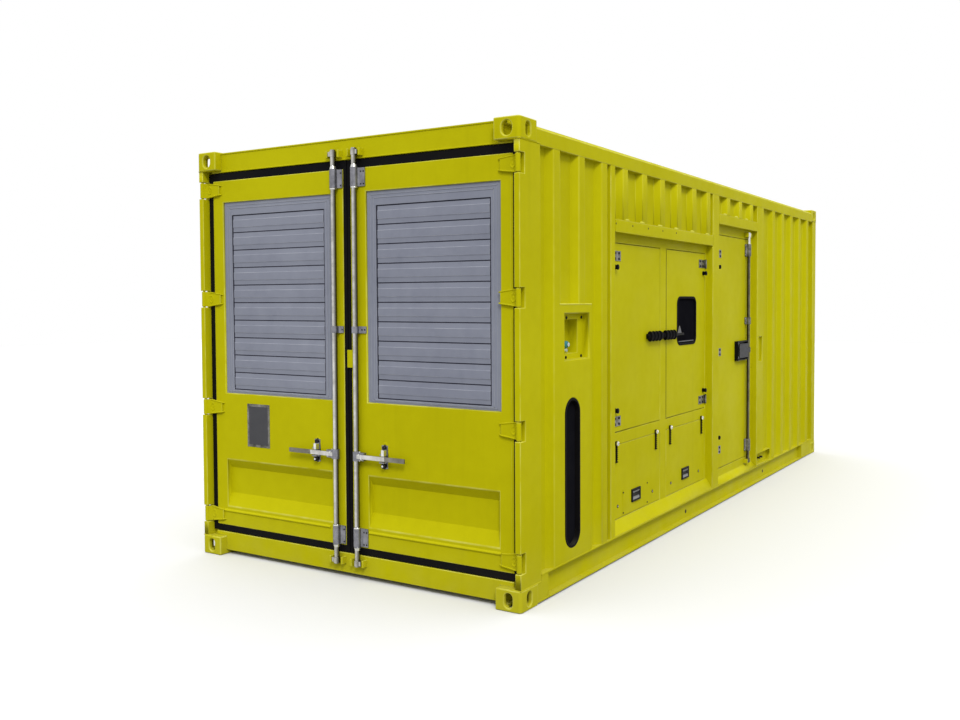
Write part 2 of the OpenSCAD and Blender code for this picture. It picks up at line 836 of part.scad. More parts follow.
module panels_over_doors() color(paint) {
    side_sheet(service_y0, service_y1, service_lintel_z + lintel_h, top_rail_z,
               service_lead, side_pitch);
    side_sheet(personnel_y0, personnel_y1, personnel_lintel_z + lintel_h, top_rail_z,
               personnel_lead, side_pitch);
}

module rear_side_panel() color(paint) {
    difference() {
        side_sheet(wide_post_y1, blind_post_front, rail_top, top_rail_z,
                   rear_lead, side_pitch);
        earth_cut();
    }
}

// Flush frame of the service recess, with the sloping sill plate below it
module service_frame() color(paint) {
    leaf_gap = door_gap;
    difference() {
        block([frame_back, service_y0, floor_top], [recess_x, service_y1, service_lintel_z]);
        for (y = [left_service_y, right_service_y]) {
            block([frame_back - eps, y - leaf_gap, service_door_z - leaf_gap],
                  [recess_x + eps, y + service_door_w + leaf_gap, service_door_top + leaf_gap]);
            block([frame_back - eps, y - hatch_gap, hatch_z - hatch_gap],
                  [recess_x + eps, y + service_door_w + hatch_gap,
                   hatch_z + hatch_h + hatch_gap]);
        }
    }
    prism_y(service_y0, service_y1, [
        [recess_x - eps, rail_top + 1], [side_face - 4, rail_top + 1], [side_face, rail_top + 1],
        [recess_x, hatch_z - hatch_gap - 2], [recess_x - eps, hatch_z - hatch_gap - 2]]);
}

module personnel_frame() color(paint) {
    difference() {
        block([frame_back, personnel_y0, floor_top],
              [recess_x, personnel_y1, personnel_lintel_z]);
        block([frame_back - eps, personnel_door_y - door_gap, personnel_door_z - door_gap],
              [recess_x + eps, personnel_door_y + personnel_door_w + door_gap,
               personnel_door_top + door_gap]);
    }
    prism_y(personnel_y0, personnel_y1, [
        [recess_x - eps, rail_top + 1], [side_face, rail_top + 1],
        [recess_x, rail_top + personnel_sill_h], [recess_x - eps, rail_top + personnel_sill_h]]);
}

// Cheeks beside the cams: the cam turns and leaves between them
keeper_gap = cam_nose + 4;
keeper_t = 12;
top_cam_z = header_z + 18;
low_cam_z = sill_top - 24 - cam_h;
personnel_top_cam_z = personnel_door_top + 22;
personnel_low_cam_z = personnel_door_z - 18 - cam_h;

module end_keeper(x, z) {
    for (s = [-1, 1])
        block([x + s * keeper_gap, -end_rail_face, z - 4],
              [x + s * (keeper_gap + keeper_t), -end_rail_face - 36, z + cam_h + 4]);
}

module personnel_keeper(z) {
    for (s = [-1, 1])
        block([recess_x, personnel_bar_y + s * keeper_gap, z - 2],
              [recess_x + 38, personnel_bar_y + s * (keeper_gap + keeper_t), z + cam_h + 2]);
}

module cam_keepers() color(paint) {
    for (x = [-bar_x, bar_x]) {
        end_keeper(x, top_cam_z);
        end_keeper(x, low_cam_z);
    }
    personnel_keeper(personnel_top_cam_z);
    personnel_keeper(personnel_low_cam_z);
}

// Hinges of the side doors. s = 1: the door lies towards +Y of its pin
module hinge_base(y, z, s) {
    part = side_hinge_h / 3;
    block([recess_x, y - s * (side_knuckle_r + 2), z - side_hinge_h / 2],
          [recess_x + side_flap_t, y - s * (jamb_flap), z + side_hinge_h / 2]);
    for (dz = [-side_hinge_h / 2, side_hinge_h / 2 - part]) {
        difference() {
            bar_along_z([side_pin_x, y, z + dz], part - 1, side_knuckle_r);
            bar_along_z([side_pin_x, y, z + dz - eps], part + 2 * eps, side_pin_r - 1);
        }
        block([recess_x + 1, y - s * 3, z + dz],
              [recess_x + 1 + side_flap_t, y - s * (side_knuckle_r + 4), z + dz + part - 1]);
    }
    bar_along_z([side_pin_x, y, z - side_hinge_h / 2], side_hinge_h, side_pin_r);
}

module hinge_flap(y, z, s) {
    part = side_hinge_h / 3;
    difference() {
        union() {
            bar_along_z([side_pin_x, y, z - part / 2 + 0.5], part - 1, side_knuckle_r);
            block([recess_x + 1, y, z - part / 2 + 0.5],
                  [recess_x + 1 + side_flap_t, y + s * (side_knuckle_r + 4), z + part / 2 - 0.5]);
            block([recess_x, y + s * (side_knuckle_r + 2), z - side_hinge_h / 2],
                  [recess_x + side_flap_t, y + s * door_flap, z + side_hinge_h / 2]);
        }
        bar_along_z([side_pin_x, y, z - side_hinge_h], 2 * side_hinge_h, side_pin_r + pin_clear);
    }
}

left_pin_y = left_service_y - door_gap / 2;
right_pin_y = right_service_y + service_door_w + door_gap / 2;
personnel_pin_y = personnel_door_y - door_gap / 2;

module side_hinge_bases() color(zinc) {
    for (z = service_hinge_z) {
        hinge_base(left_pin_y, z, 1);
        hinge_base(right_pin_y, z, -1);
    }
    for (z = personnel_hinge_z) hinge_base(personnel_pin_y, z, 1);
}

module hatch_panels() color(paint) {
    for (y = [left_service_y, right_service_y])
        block([frame_back, y, hatch_z], [recess_x, y + service_door_w, hatch_z + hatch_h]);
    block([recess_x, left_service_y + hatch_plate_from_edge, hatch_z + 8],
          [recess_x + 2, left_service_y + hatch_plate_from_edge + hatch_plate_w,
           hatch_z + 8 + hatch_plate_h]);
}

// Rubber draw latch with its metal catch above the panel's edge
latch_x = recess_x + 13;
latch_places = [for (y = [left_service_y, right_service_y],
                     d = [latch_front, service_door_w - latch_rear]) y + d];
latch_top = hatch_z + hatch_h + 18;

module hatch_latches() color(black) {
    z0 = latch_top - 4 - latch_l;
    for (y = latch_places) {
        bar_along_z([latch_x, y, z0], latch_l, 8);
        for (part = [0.08, 0.47, 0.79])
            block([recess_x, y - 7, z0 + latch_l * part],
                  [latch_x, y + 7, z0 + latch_l * part + 14]);
        block([recess_x, y - 17, latch_top - 16], [latch_x + 12, y + 17, latch_top + 10]);
    }
}

// Flush pull: a rim round a shallow pocket with a bar across it; x0 is the face it sits on
module hatch_pull(y, x0) {
    z = hatch_z + pull_z;
    rim = 12;
    difference() {
        block([x0, y - pull_w / 2, z - pull_h / 2], [x0 + 10, y + pull_w / 2, z + pull_h / 2]);
        block([x0 + 3, y - pull_w / 2 + rim, z - pull_h / 2 + rim],
              [x0 + 11, y + pull_w / 2 - rim, z + pull_h / 2 - rim]);
    }
    block([x0 + 2, y - pull_w / 2 + 8, z - 8], [x0 + 9, y + pull_w / 2 - 8, z + 10]);
}

module hatch_pulls() color(black) {
    hatch_pull(left_service_y + pull_from_edge, recess_x + 2);
    hatch_pull(right_service_y + pull_from_edge, recess_x);
}

// Control niche: an outer step, a flange with four screws' room, and a deep inner part
module niche_box() color(paint) {
    back = side_face - niche_step;
    y1 = niche_y0 + niche_w;
    z1 = niche_z + niche_h;
    difference() {
        block([back - niche_deep - sheet_t, niche_y0, niche_z], [side_face - 6, y1, z1]);
        block([back, niche_y0 + sheet_t, niche_z + sheet_t],
              [side_face, y1 - sheet_t, z1 - sheet_t]);
        block([back - niche_deep, niche_y0 + 70, niche_z + 35],
              [back + eps, niche_y0 + 70 + niche_inner_w, niche_z + 35 + niche_inner_h]);
    }
}

module niche_controls() color([0.25, 0.5, 0.5]) {
    x = side_face - niche_step - niche_deep;
    bar_along_x([x, niche_y0 + niche_knob_y, niche_z + niche_knob_z], 26, 21);
    bar_along_x([x, niche_y0 + niche_knob_y, niche_z + niche_knob_z - 34], 18, 10);
}

module slot_window() color(black) {
    rim = 14;
    x0 = sheet_in + 6;
    plate_x(x0, x0 + 6, slot_y, slot_z) upright_slot(slot_w - 2, slot_h - 2);
    difference() {
        plate_x(x0, side_face + 2, slot_y, slot_z) upright_slot(slot_w, slot_h);
        plate_x(x0 - eps, side_face + 3, slot_y, slot_z)
            upright_slot(slot_w - 2 * rim, slot_h - 2 * rim);
    }
}

module earth_box() color(paint) {
    y1 = earth_y0 + earth_w;
    x1 = side_face - 1;
    difference() {
        block([earth_back - sheet_t, earth_y0, rail_top], [x1, y1, earth_z1]);
        block([earth_back, earth_y0 + sheet_t, rail_top + 2 * sheet_t],
              [x1 + eps, y1 - sheet_t, earth_z1 - sheet_t]);
    }
    for (d = [0.32, 0.5])
        bar_along_x([earth_back, earth_y0 + earth_w * d, rail_top + 56], 26, 9);
}

// ---------- end doors ----------

// Louvre extents; s = 1 is the right door
function louvre_x0(s) = (s > 0 ? louvre_x : -louvre_x - louvre_w) + louvre_shift;

module end_door(s) {
    press_x0 = louvre_x0(s) + 6;
    press_x1 = press_x0 + louvre_w - 18;
    flat_z = press_z + press_low;
    high_z = flat_z + press_flat;
    difference() {
        block([s * leaf_half_gap, leaf_y, leaf_z0], [s * leaf_x1, leaf_back, leaf_z1]);
        block([louvre_x0(s), leaf_y - eps, louvre_z],
              [louvre_x0(s) + louvre_w, leaf_back + eps, louvre_z + louvre_h]);
        prism_x(press_x0, press_x1, [
            [leaf_y - eps, press_z - press_low / press_d], [leaf_y, press_z],
            [leaf_y + press_d, flat_z], [leaf_y + press_d, high_z],
            [leaf_y, high_z + press_high],
            [leaf_y - eps, high_z + press_high + press_high / press_d]]);
    }
}

// Louvre: a frame set back in the door, and closed slats on pivots, each with a raised middle
module end_louvre(s) {
    x0 = louvre_x0(s);
    x1 = x0 + louvre_w;
    z1 = louvre_z + louvre_h;
    face = leaf_y + louvre_inset;
    field_x0 = x0 + louvre_side;
    field_x1 = x1 - louvre_side;
    field_z0 = louvre_z + louvre_foot;
    field_z1 = z1 - louvre_head;
    pitch = (field_z1 - field_z0) / slats_n;
    slat_y = face + 4;
    lap = slat_gap + 7;
    difference() {
        block([x0, face, louvre_z], [x1, leaf_back, z1]);
        block([field_x0, face - eps, field_z0], [field_x1, leaf_back + eps, field_z1]);
    }
    for (i = [0 : slats_n - 1]) {
        z = field_z0 + i * pitch + slat_gap / 2;
        top = z + pitch - slat_gap;
        lap_top = i < slats_n - 1 ? top + lap : top;
        prism_x(field_x0 + slat_end_gap, field_x1 - slat_end_gap, [
            [slat_y, z], [slat_y, z + pitch * 0.24], [slat_y - 3, z + pitch * 0.27],
            [slat_y - 3, z + pitch * 0.68], [slat_y, z + pitch * 0.71], [slat_y, top],
            [slat_y + slat_t, top], [slat_y + slat_t, lap_top],
            [slat_y + slat_t + 3, lap_top], [slat_y + slat_t + 3, z + lap + 3],
            [slat_y + slat_t, z + lap], [slat_y + slat_t, z]]);
        bar_along_x([field_x0 - eps, slat_y + slat_t / 2, z + pitch / 2],
                    field_x1 - field_x0 + 2 * eps, slat_t / 2 - 2);
    }
}

// Flat rubber seal round a door's edge
module end_seal(s) {
    y0 = leaf_y + 2;
    difference() {
        block([s * seal_half_gap, y0, sill_top + seal_gap],
              [s * (flange_x - seal_gap), y0 + seal_t, header_z - seal_gap]);
        block([s * leaf_half_gap, y0 - eps, leaf_z0], [s * leaf_x1, y0 + seal_t + eps, leaf_z1]);
    }
}

// Hinge blade of the right door in plan, drawn about the pin
module blade_plan() {
    near = leaf_y - pin_y;
    circle(knuckle_r);
    polygon([[-blade_reach, near - blade_plate], [-blade_reach, near],
             [-6, near], [8, 10], [-12, -6], [-26, near - blade_plate]]);
}

module hinge_blades() {
    for (z = hinge_heights)
        intersection() {
            difference() {
                translate([pin_x, pin_y, z - blade_h / 2]) linear_extrude(blade_h) blade_plan();
                bar_along_z([pin_x, pin_y, z - blade_h], 2 * blade_h, pin_r + pin_clear);
            }
            prism_y(pin_y - 2 * knuckle_r, leaf_y, [
                [pin_x - blade_reach, z - blade_tip_h / 2], [pin_x - 24, z - blade_h / 2],
                [pin_x + 2 * knuckle_r, z - blade_h / 2],
                [pin_x + 2 * knuckle_r, z + blade_h / 2], [pin_x - 24, z + blade_h / 2],
                [pin_x - blade_reach, z + blade_tip_h / 2]]);
        }
}

// Bearing or guide on a door: a housing round the bar on a flat base
bar_clear = 0.5;
housing_r = 22;

module bar_housing(x, z0, z1, base0, base1) {
    difference() {
        union() {
            block([x - base0, leaf_y - 7, z0], [x + base1, leaf_y, z1]);
            bar_along_z([x, bar_y, z0], z1 - z0, housing_r);
            block([x - housing_r, bar_y, z0], [x + housing_r, leaf_y, z1]);
        }
        block([x - 2 * housing_r, leaf_y, z0 - eps], [x + 2 * housing_r, leaf_y + 50, z1 + eps]);
        bar_along_z([x, bar_y, z0 - eps], z1 - z0 + 2 * eps, bar_r + bar_clear);
    }
}

// Handle catch: a base plate with a lip below and a lip above the handle
module lever_catch(x) {
    block([x - 22, leaf_y - 7, lever_z - 60], [x + 22, leaf_y, lever_z + 74]);
    block([x - 18, lever_y - 2, lever_z - lever_h / 2 - 14],
          [x + 18, leaf_y - 6, lever_z - lever_h / 2 - 6]);
    block([x - 14, lever_y - 2, lever_z + lever_h / 2 + 6],
          [x + 14, leaf_y - 6, lever_z + lever_h / 2 + 14]);
}

top_bearing_z = leaf_z1 - 2 - bearing_h;
low_bearing_z = leaf_z0 + 9;

module bar_brackets(s) {
    x = s * bar_x;
    outer = s > 0 ? bearing_plate_w : bar_x - leaf_half_gap - 1;
    tab_x1 = bar_x - bar_r - 7;
    bar_housing(x, top_bearing_z, top_bearing_z + bearing_h, 34, outer);
    bar_housing(x, guide_z, guide_z + guide_h, 36, outer);
    bar_housing(x, low_bearing_z, low_bearing_z + bearing_h, 34, outer);
    lever_catch(s > 0 ? x + right_catch : x - left_catch);
    if (s > 0) {
        block([tab_from_line, leaf_y - 12, tab_z], [tab_x1, leaf_y - 6, tab_z + tab_h]);
        block([leaf_half_gap + 4, leaf_y - 6, tab_z + 6], [tab_x1, leaf_y, tab_z + tab_h - 6]);
    }
}

// Locking bar with a cam at each end, cones and collars that hold it up and down between its
// bearings, and a handle in a clamp; s gives the handle's side
collar_h = 9;
cone_h = 18;

module end_lock_bar(s) {
    x = s * bar_x;
    z0 = low_cam_z - 4;
    z1 = top_cam_z + cam_h + 8;
    bar_along_z([x, bar_y, z0], z1 - z0, bar_r);
    for (z = [top_cam_z, low_cam_z]) {
        bar_along_z([x, bar_y, z], cam_h, cam_r - 2);
        block([x, bar_y - 11, z + 4], [x + s * cam_nose * 0.9, bar_y + 9, z + cam_h - 4]);
    }
    for (z = [top_bearing_z - collar_h - 1, low_bearing_z + bearing_h + 1])
        bar_along_z([x, bar_y, z], collar_h, bar_r + 5);
    translate([x, bar_y, top_bearing_z + bearing_h + 1])
        cylinder(h = cone_h, r1 = bar_r + 5, r2 = bar_r + 0.5);
    translate([x, bar_y, low_bearing_z - cone_h - 1])
        cylinder(h = cone_h, r1 = bar_r + 0.5, r2 = bar_r + 5);
    bar_along_z([x, bar_y, lever_z - 28], 56, bar_r + 6);
    block([x, bar_y - 13, lever_z - hub_h / 2], [x + s * hub_l, bar_y + 11, lever_z + hub_h / 2]);
    block([x, lever_y, lever_z - lever_h / 2],
          [x + s * lever_l, lever_y - lever_t, lever_z + lever_h / 2]);
}

module left_door() color(paint) end_door(-1);
module right_door() color(paint) end_door(1);
module left_louvre() color(louvre_grey) end_louvre(-1);
module right_louvre() color(louvre_grey) end_louvre(1);
module left_seal() color(black) end_seal(-1);
module right_seal() color(black) end_seal(1);
module left_hinge_blades() color(paint) mirror([1, 0, 0]) hinge_blades();
module right_hinge_blades() color(paint) hinge_blades();
module left_bar_brackets() color(zinc) bar_brackets(-1);
module right_bar_brackets() color(zinc) bar_brackets(1);
module left_lock_bar() color(zinc) end_lock_bar(-1);
module right_lock_bar() color(zinc) end_lock_bar(1);

// ---------- side doors ----------

vision_y = right_service_y + service_door_w - vision_from_hinge;

module side_door(y, w, z, h) {
    block([frame_back, y, z], [recess_x, y + w, z + h]);
}

module left_service_door() color(paint)
    side_door(left_service_y, service_door_w, service_door_z, service_door_h);

module right_service_door() color(paint) {
    difference() {
        side_door(right_service_y, service_door_w, service_door_z, service_door_h);
        plate_x(frame_back - eps, recess_x + eps, vision_y, vision_z)
            round_rect(vision_w - 8, vision_h - 8, vision_r - 4);
    }
}

// Window: a pane in a rubber rim that laps over the door's face
module vision_window() color(black) {
    rim = 16;
    pane_x = recess_x - 16;
    plate_x(pane_x, pane_x + 6, vision_y, vision_z)
        round_rect(vision_w - 8, vision_h - 8, vision_r - 4);
    difference() {
        union() {
            plate_x(frame_back + 4, recess_x, vision_y, vision_z)
                round_rect(vision_w - 8, vision_h - 8, vision_r - 4);
            plate_x(recess_x, recess_x + 4, vision_y, vision_z)
                round_rect(vision_w, vision_h, vision_r);
        }
        plate_x(frame_back, recess_x + 5, vision_y, vision_z)
            round_rect(vision_w - 2 * rim, vision_h - 2 * rim, vision_r - rim);
    }
}

// Ribbed rubber grip on two feet, its outer end pointed; tip = -1 points towards -Y
module ribbed_handle(y0, y1, tip, foot0, foot1) {
    x0 = recess_x + 6;
    x1 = recess_x + 36;
    tip_y = tip < 0 ? y0 : y1;
    block([x0, y0, handle_z - 22], [x1, y1, handle_z + 22]);
    ribs = floor((y1 - y0 - handle_rib_w) / handle_rib_pitch);
    for (i = [0 : ribs])
        block([x0 - 2, y0 + i * handle_rib_pitch, handle_z - handle_h / 2],
              [x1 + 10, y0 + i * handle_rib_pitch + handle_rib_w, handle_z + handle_h / 2]);
    block([x0 + 6, tip_y, handle_z - 10], [x1 - 6, tip_y + tip * 18, handle_z + 10]);
    for (y = [foot0, foot1])
        block([recess_x, y - 22, handle_z - 26], [x0 + 2, y + 22, handle_z + 26]);
}

buffer_r = 17;
buffer_l = 32;

module buffers(y) {
    for (z = [service_hinge_z[0] + buffer_from_hinge, service_hinge_z[1] - buffer_from_hinge])
        bar_along_x([recess_x, y, z], buffer_l, buffer_r);
}

left_handle_y1 = mullion_y0 - 16;
right_handle_y0 = mullion_y0 + 4;
right_handle_y1 = vision_y - vision_w / 2 - 26;

module left_service_handle() color(black) {
    ribbed_handle(left_handle_y1 - left_handle_l, left_handle_y1, -1,
                  left_handle_y1 - left_handle_l + 50, left_handle_y1 - 50);
    buffers(left_service_y + 40);
}

module right_service_handle() color(black) {
    ribbed_handle(right_handle_y0, right_handle_y1, 1,
                  right_service_y + 40, right_handle_y1 - 40);
    buffers(right_service_y + service_door_w - 40);
}

module left_service_hinges() color(zinc)
    for (z = service_hinge_z) hinge_flap(left_pin_y, z, 1);

module right_service_hinges() color(zinc)
    for (z = service_hinge_z) hinge_flap(right_pin_y, z, -1);

module personnel_hinges() color(zinc)
    for (z = personnel_hinge_z) hinge_flap(personnel_pin_y, z, 1);

module personnel_door() color(paint)
    side_door(personnel_door_y, personnel_door_w, personnel_door_z, personnel_door_h);

// Guides of the side locking bar, the lock case and the door's buffers
module personnel_housing(z0, z1) {
    y = personnel_bar_y;
    r = personnel_bar_r + 7;
    difference() {
        union() {
            block([recess_x, y - 36, z0], [recess_x + 5, y + 36, z1]);
            bar_along_z([personnel_bar_x, y, z0], z1 - z0, r);
            block([recess_x, y - r, z0], [personnel_bar_x, y + r, z1]);
        }
        bar_along_z([personnel_bar_x, y, z0 - eps], z1 - z0 + 2 * eps,
                    personnel_bar_r + bar_clear);
    }
}

module personnel_buffers() color(black) {
    for (z = [personnel_door_z + personnel_buffer_gap, personnel_door_top - personnel_buffer_gap])
        bar_along_x([recess_x, personnel_door_y + 40, z], buffer_l, buffer_r);
}

module personnel_bar_brackets() color(zinc) {
    personnel_housing(personnel_door_top - 40 - personnel_bearing_h, personnel_door_top - 40);
    personnel_housing(personnel_guide_z, personnel_guide_z + personnel_guide_h);
    personnel_housing(personnel_door_z + 52, personnel_door_z + 52 + personnel_bearing_h);
}

// Lock case: an open-fronted box on the door, in which the handle's grip lies
module personnel_lock_case() color(black) {
    y1 = personnel_bar_y - personnel_bar_r - 12;
    y0 = y1 - lock_case_l;
    z0 = personnel_lever_z - lock_case_h / 2;
    z1 = z0 + lock_case_h;
    x1 = personnel_bar_x + 6;
    wall = 8;
    difference() {
        block([recess_x, y0, z0], [x1, y1, z1]);
        block([recess_x + wall, y0 + wall, z0 + wall], [x1 + eps, y1 - wall, z1 - wall]);
    }
}

module personnel_lock_bar() color(zinc) {
    y = personnel_bar_y;
    z0 = personnel_low_cam_z - 2;
    z1 = personnel_top_cam_z + cam_h + 6;
    lever_x = personnel_bar_x + 12;
    bar_along_z([personnel_bar_x, y, z0], z1 - z0, personnel_bar_r);
    for (z = [personnel_top_cam_z, personnel_low_cam_z]) {
        bar_along_z([personnel_bar_x, y, z], cam_h, cam_r - 4);
        block([personnel_bar_x - 9, y - cam_nose * 0.85, z + 4],
              [personnel_bar_x + 11, y, z + cam_h - 4]);
    }
    bar_along_z([personnel_bar_x, y, personnel_lever_z - 24], 48, personnel_bar_r + 5);
    block([lever_x, y, personnel_lever_z - 20],
          [lever_x + lever_t, y - personnel_lever_l, personnel_lever_z + 20]);
    block([lever_x, y - personnel_lever_l, personnel_lever_z - personnel_grip_h / 2],
          [lever_x + lever_t, y - 60, personnel_lever_z + personnel_grip_h / 2]);
}

corner_castings();
corner_posts();
end_rails();
bottom_side_rails();
top_side_rails();
floor_plate();
cross_members();
roof();
blind_side_wall();
blind_end_wall();
side_posts();
side_lintels();
front_side_panel();
panels_over_doors();
rear_side_panel();
service_frame();
personnel_frame();
cam_keepers();
side_hinge_bases();
hatch_panels();
hatch_latches();
hatch_pulls();
niche_box();
niche_controls();
slot_window();
earth_box();
left_door();
left_louvre();
left_seal();
left_hinge_blades();
left_bar_brackets();
left_lock_bar();
right_door();
right_louvre();
right_seal();
right_hinge_blades();
right_bar_brackets();
right_lock_bar();
left_service_door();
left_service_hinges();
left_service_handle();
right_service_door();
right_service_hinges();
right_service_handle();
vision_window();
personnel_door();
personnel_hinges();
personnel_buffers();
personnel_bar_brackets();
personnel_lock_case();
personnel_lock_bar();
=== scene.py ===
# %% [markdown]
# # A yellow power container
# The object is a 20 ft steel container that houses a generator set. One end has a pair
# of louvred doors with locking bars, and one long side has recessed service doors,
# lift-off hatches and a door for people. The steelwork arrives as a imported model, and
# this lesson dresses it: paint and metal finishes, rounded pressings, welds, rubber,
# glass and the small hardware that is bolted on last.

# %% Load the steelwork
import math
import random

import bmesh
import bpy
from mathutils import Matrix, Vector
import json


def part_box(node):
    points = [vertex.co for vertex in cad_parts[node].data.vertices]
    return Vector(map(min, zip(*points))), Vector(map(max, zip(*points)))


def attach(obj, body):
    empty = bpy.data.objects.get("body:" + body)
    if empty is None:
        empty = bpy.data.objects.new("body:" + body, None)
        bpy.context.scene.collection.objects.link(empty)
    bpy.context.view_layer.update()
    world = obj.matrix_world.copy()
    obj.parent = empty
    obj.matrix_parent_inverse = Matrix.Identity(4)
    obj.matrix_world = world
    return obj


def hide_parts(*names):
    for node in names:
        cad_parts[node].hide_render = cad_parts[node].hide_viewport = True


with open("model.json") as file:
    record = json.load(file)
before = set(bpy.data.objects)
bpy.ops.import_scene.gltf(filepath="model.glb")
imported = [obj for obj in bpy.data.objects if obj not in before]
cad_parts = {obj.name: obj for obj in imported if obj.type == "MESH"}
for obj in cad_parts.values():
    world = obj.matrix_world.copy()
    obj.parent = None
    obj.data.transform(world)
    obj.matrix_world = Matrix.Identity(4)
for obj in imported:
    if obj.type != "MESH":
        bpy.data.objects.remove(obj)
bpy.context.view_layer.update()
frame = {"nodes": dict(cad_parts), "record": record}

body_of = {node: body for body, members in frame["record"]["behaviour"]["bodies"].items()
           for node in members}
MM = 0.001            # the model is in metres, the small shapes are drawn in millimetres

# %% [markdown]
# ## The camera
# A camera in Blender looks along its own -Z axis, with +Y up in the picture. Here it
# stands outside the corner where the louvred end meets the service side, a little above
# a person's eye level, and looks slightly down. Its three axes are worked out from a
# heading, a tilt and a small roll, and are set as the columns of its matrix.

# %% Place the camera
CAMERA_PLACE = Vector((3.741, -7.120, 1.633))
HEADING, TILT, ROLL = (math.radians(a) for a in (30.45, -2.07, -0.15))

look = Vector((-math.sin(HEADING) * math.cos(TILT),
               math.cos(HEADING) * math.cos(TILT), math.sin(TILT)))
level_right = Vector((math.cos(HEADING), math.sin(HEADING), 0))
level_up = level_right.cross(look)
right = math.cos(ROLL) * level_right + math.sin(ROLL) * level_up
up = math.cos(ROLL) * level_up - math.sin(ROLL) * level_right

camera = bpy.data.objects.new("camera", bpy.data.cameras.new("camera"))
bpy.context.scene.collection.objects.link(camera)
camera.matrix_world = Matrix((right, up, -look)).transposed().to_4x4()
camera.location = CAMERA_PLACE
camera.data.sensor_width, camera.data.lens = 36, 34.94
camera.data.shift_x, camera.data.shift_y = -0.0622, -0.0259
bpy.context.scene.camera = camera
print("camera at", tuple(CAMERA_PLACE))

# %% [markdown]
# ## Nodes in few words
# A world or a material is a tree of shader nodes. Three small tools save most of the
# typing: one places a node and fills or links its inputs by name, one puts two numbers
# through a Math node, and one lays a colour over another.


# %% Tools for shader nodes
def add_node(tree, kind, inputs=None, **settings):
    """A new shader node; an input is given a value or another node's output."""
    made = tree.nodes.new("ShaderNode" + kind)
    for name, value in settings.items():
        setattr(made, name, value)
    for name, value in (inputs or {}).items():
        if isinstance(value, bpy.types.NodeSocket):
            tree.links.new(value, made.inputs[name])
        else:
            made.inputs[name].default_value = value
    return made


def combine(tree, operation, a, b):
    """Two numbers through one Math node."""
    return add_node(tree, "Math", {0: a, 1: b}, operation=operation).outputs[0]


def blend_colours(tree, mask, below, above):
    """One colour over another; a Mix node takes colours at 6 and 7 and gives one at 2."""
    return add_node(tree, "Mix", {0: mask, 6: below, 7: above}, data_type="RGBA").outputs[2]


def height_in(tree, coordinates):
    """The Z part of one of the texture coordinates."""
    place = add_node(tree, "TexCoord").outputs[coordinates]
    return add_node(tree, "SeparateXYZ", {0: place}).outputs["Z"]


print("node tools ready")

# %% [markdown]
# ## Light and floor
# The container is shown under an even, bright sky. A world colour that is a little
# brighter overhead gives the sheets their soft shading, and one broad sun lamp from the
# near corner models both faces. Rays that come straight from the camera, through glass
# or off a mirror see plain white instead, so metal and glass show the same background.

# %% Light the stage
scene = bpy.context.scene
scene.view_settings.view_transform = "Standard"
WHITE = (1, 1, 1, 1)
SKY_LOW, SKY_HIGH = (0.36, 0.36, 0.37, 1), (1.62, 1.63, 1.65, 1)


def seen_directly(tree):
    """1 for rays from the camera, through glass or off a glossy surface, else 0."""
    path = add_node(tree, "LightPath").outputs
    plain = combine(tree, "MAXIMUM", path["Is Camera Ray"], path["Is Glossy Ray"])
    return combine(tree, "MAXIMUM", plain, path["Is Transmission Ray"])


world = bpy.data.worlds.new("overcast")
scene.world = world
world.use_nodes = True
sky = world.node_tree
sky.nodes.clear()
sky_tone = add_node(sky, "ValToRGB", {0: height_in(sky, "Generated")})
for stop, tone in zip(sky_tone.color_ramp.elements, (SKY_LOW, SKY_HIGH)):
    stop.color = tone
chosen = blend_colours(sky, seen_directly(sky), sky_tone.outputs[0], WHITE)
background = add_node(sky, "Background", {"Color": chosen})
add_node(sky, "OutputWorld", {"Surface": background.outputs[0]})

sun = bpy.data.objects.new("broad_sun", bpy.data.lights.new("broad_sun", "SUN"))
sun.data.energy = 1.35
sun.data.angle = math.radians(14)
sun.rotation_euler = (math.radians(48), 0, math.radians(42))
scene.collection.objects.link(sun)
print("sky and one lamp")

# %% [markdown]
# The floor is one large plane. What the camera sees of it is a pale grey that the sky
# lights to white, with the container's own shade on it. The light that it throws back up
# is that of a yard, so the undersides of ledges stay darker than their tops.

# %% Lay the floor
FLOOR_HALF, FLOOR_DROP = 30.0, 0.0005       # metres
BOUNCED, SHOWN = 0.26, 0.78                 # the two greys
floor_shape = bmesh.new()
floor_shape.faces.new([floor_shape.verts.new((x * FLOOR_HALF, y * FLOOR_HALF, -FLOOR_DROP))
                       for x, y in ((-1, -1), (1, -1), (1, 1), (-1, 1))])
floor_mesh = bpy.data.meshes.new("floor")
floor_shape.to_mesh(floor_mesh)
floor_shape.free()
floor = bpy.data.objects.new("floor", floor_mesh)
scene.collection.objects.link(floor)

floor_finish = bpy.data.materials.new("pale_floor")
floor_finish.use_nodes = True
tree = floor_finish.node_tree
tree.nodes.clear()
greys = [add_node(tree, "BsdfDiffuse", {"Color": (grey, grey, grey, 1)}).outputs[0]
         for grey in (BOUNCED, SHOWN)]
picked = add_node(tree, "MixShader", {0: seen_directly(tree), 1: greys[0], 2: greys[1]})
add_node(tree, "OutputMaterial", {"Surface": picked.outputs[0]})
floor_mesh.materials.append(floor_finish)
print("floor laid")

# %% [markdown]
# ## Shared surface effects
# Real paint and metal are never one flat value. Effects that several finishes share are
# built once as node groups with named sockets, and each material sets its own numbers.
# A group only puts out colours, masks and heights; the shaders stay in the materials.


# %% Tools for node groups
def start_group(name, inputs, outputs):
    """A node group with (label, kind, value) inputs and (label, kind) outputs."""
    group = bpy.data.node_groups.new(name, "ShaderNodeTree")
    for label, kind, value in inputs:
        socket = group.interface.new_socket(label, in_out="INPUT",
                                            socket_type="NodeSocket" + kind)
        socket.default_value = value
    for label, kind in outputs:
        group.interface.new_socket(label, in_out="OUTPUT", socket_type="NodeSocket" + kind)
    return group, group.nodes.new("NodeGroupInput").outputs, group.nodes.new("NodeGroupOutput")


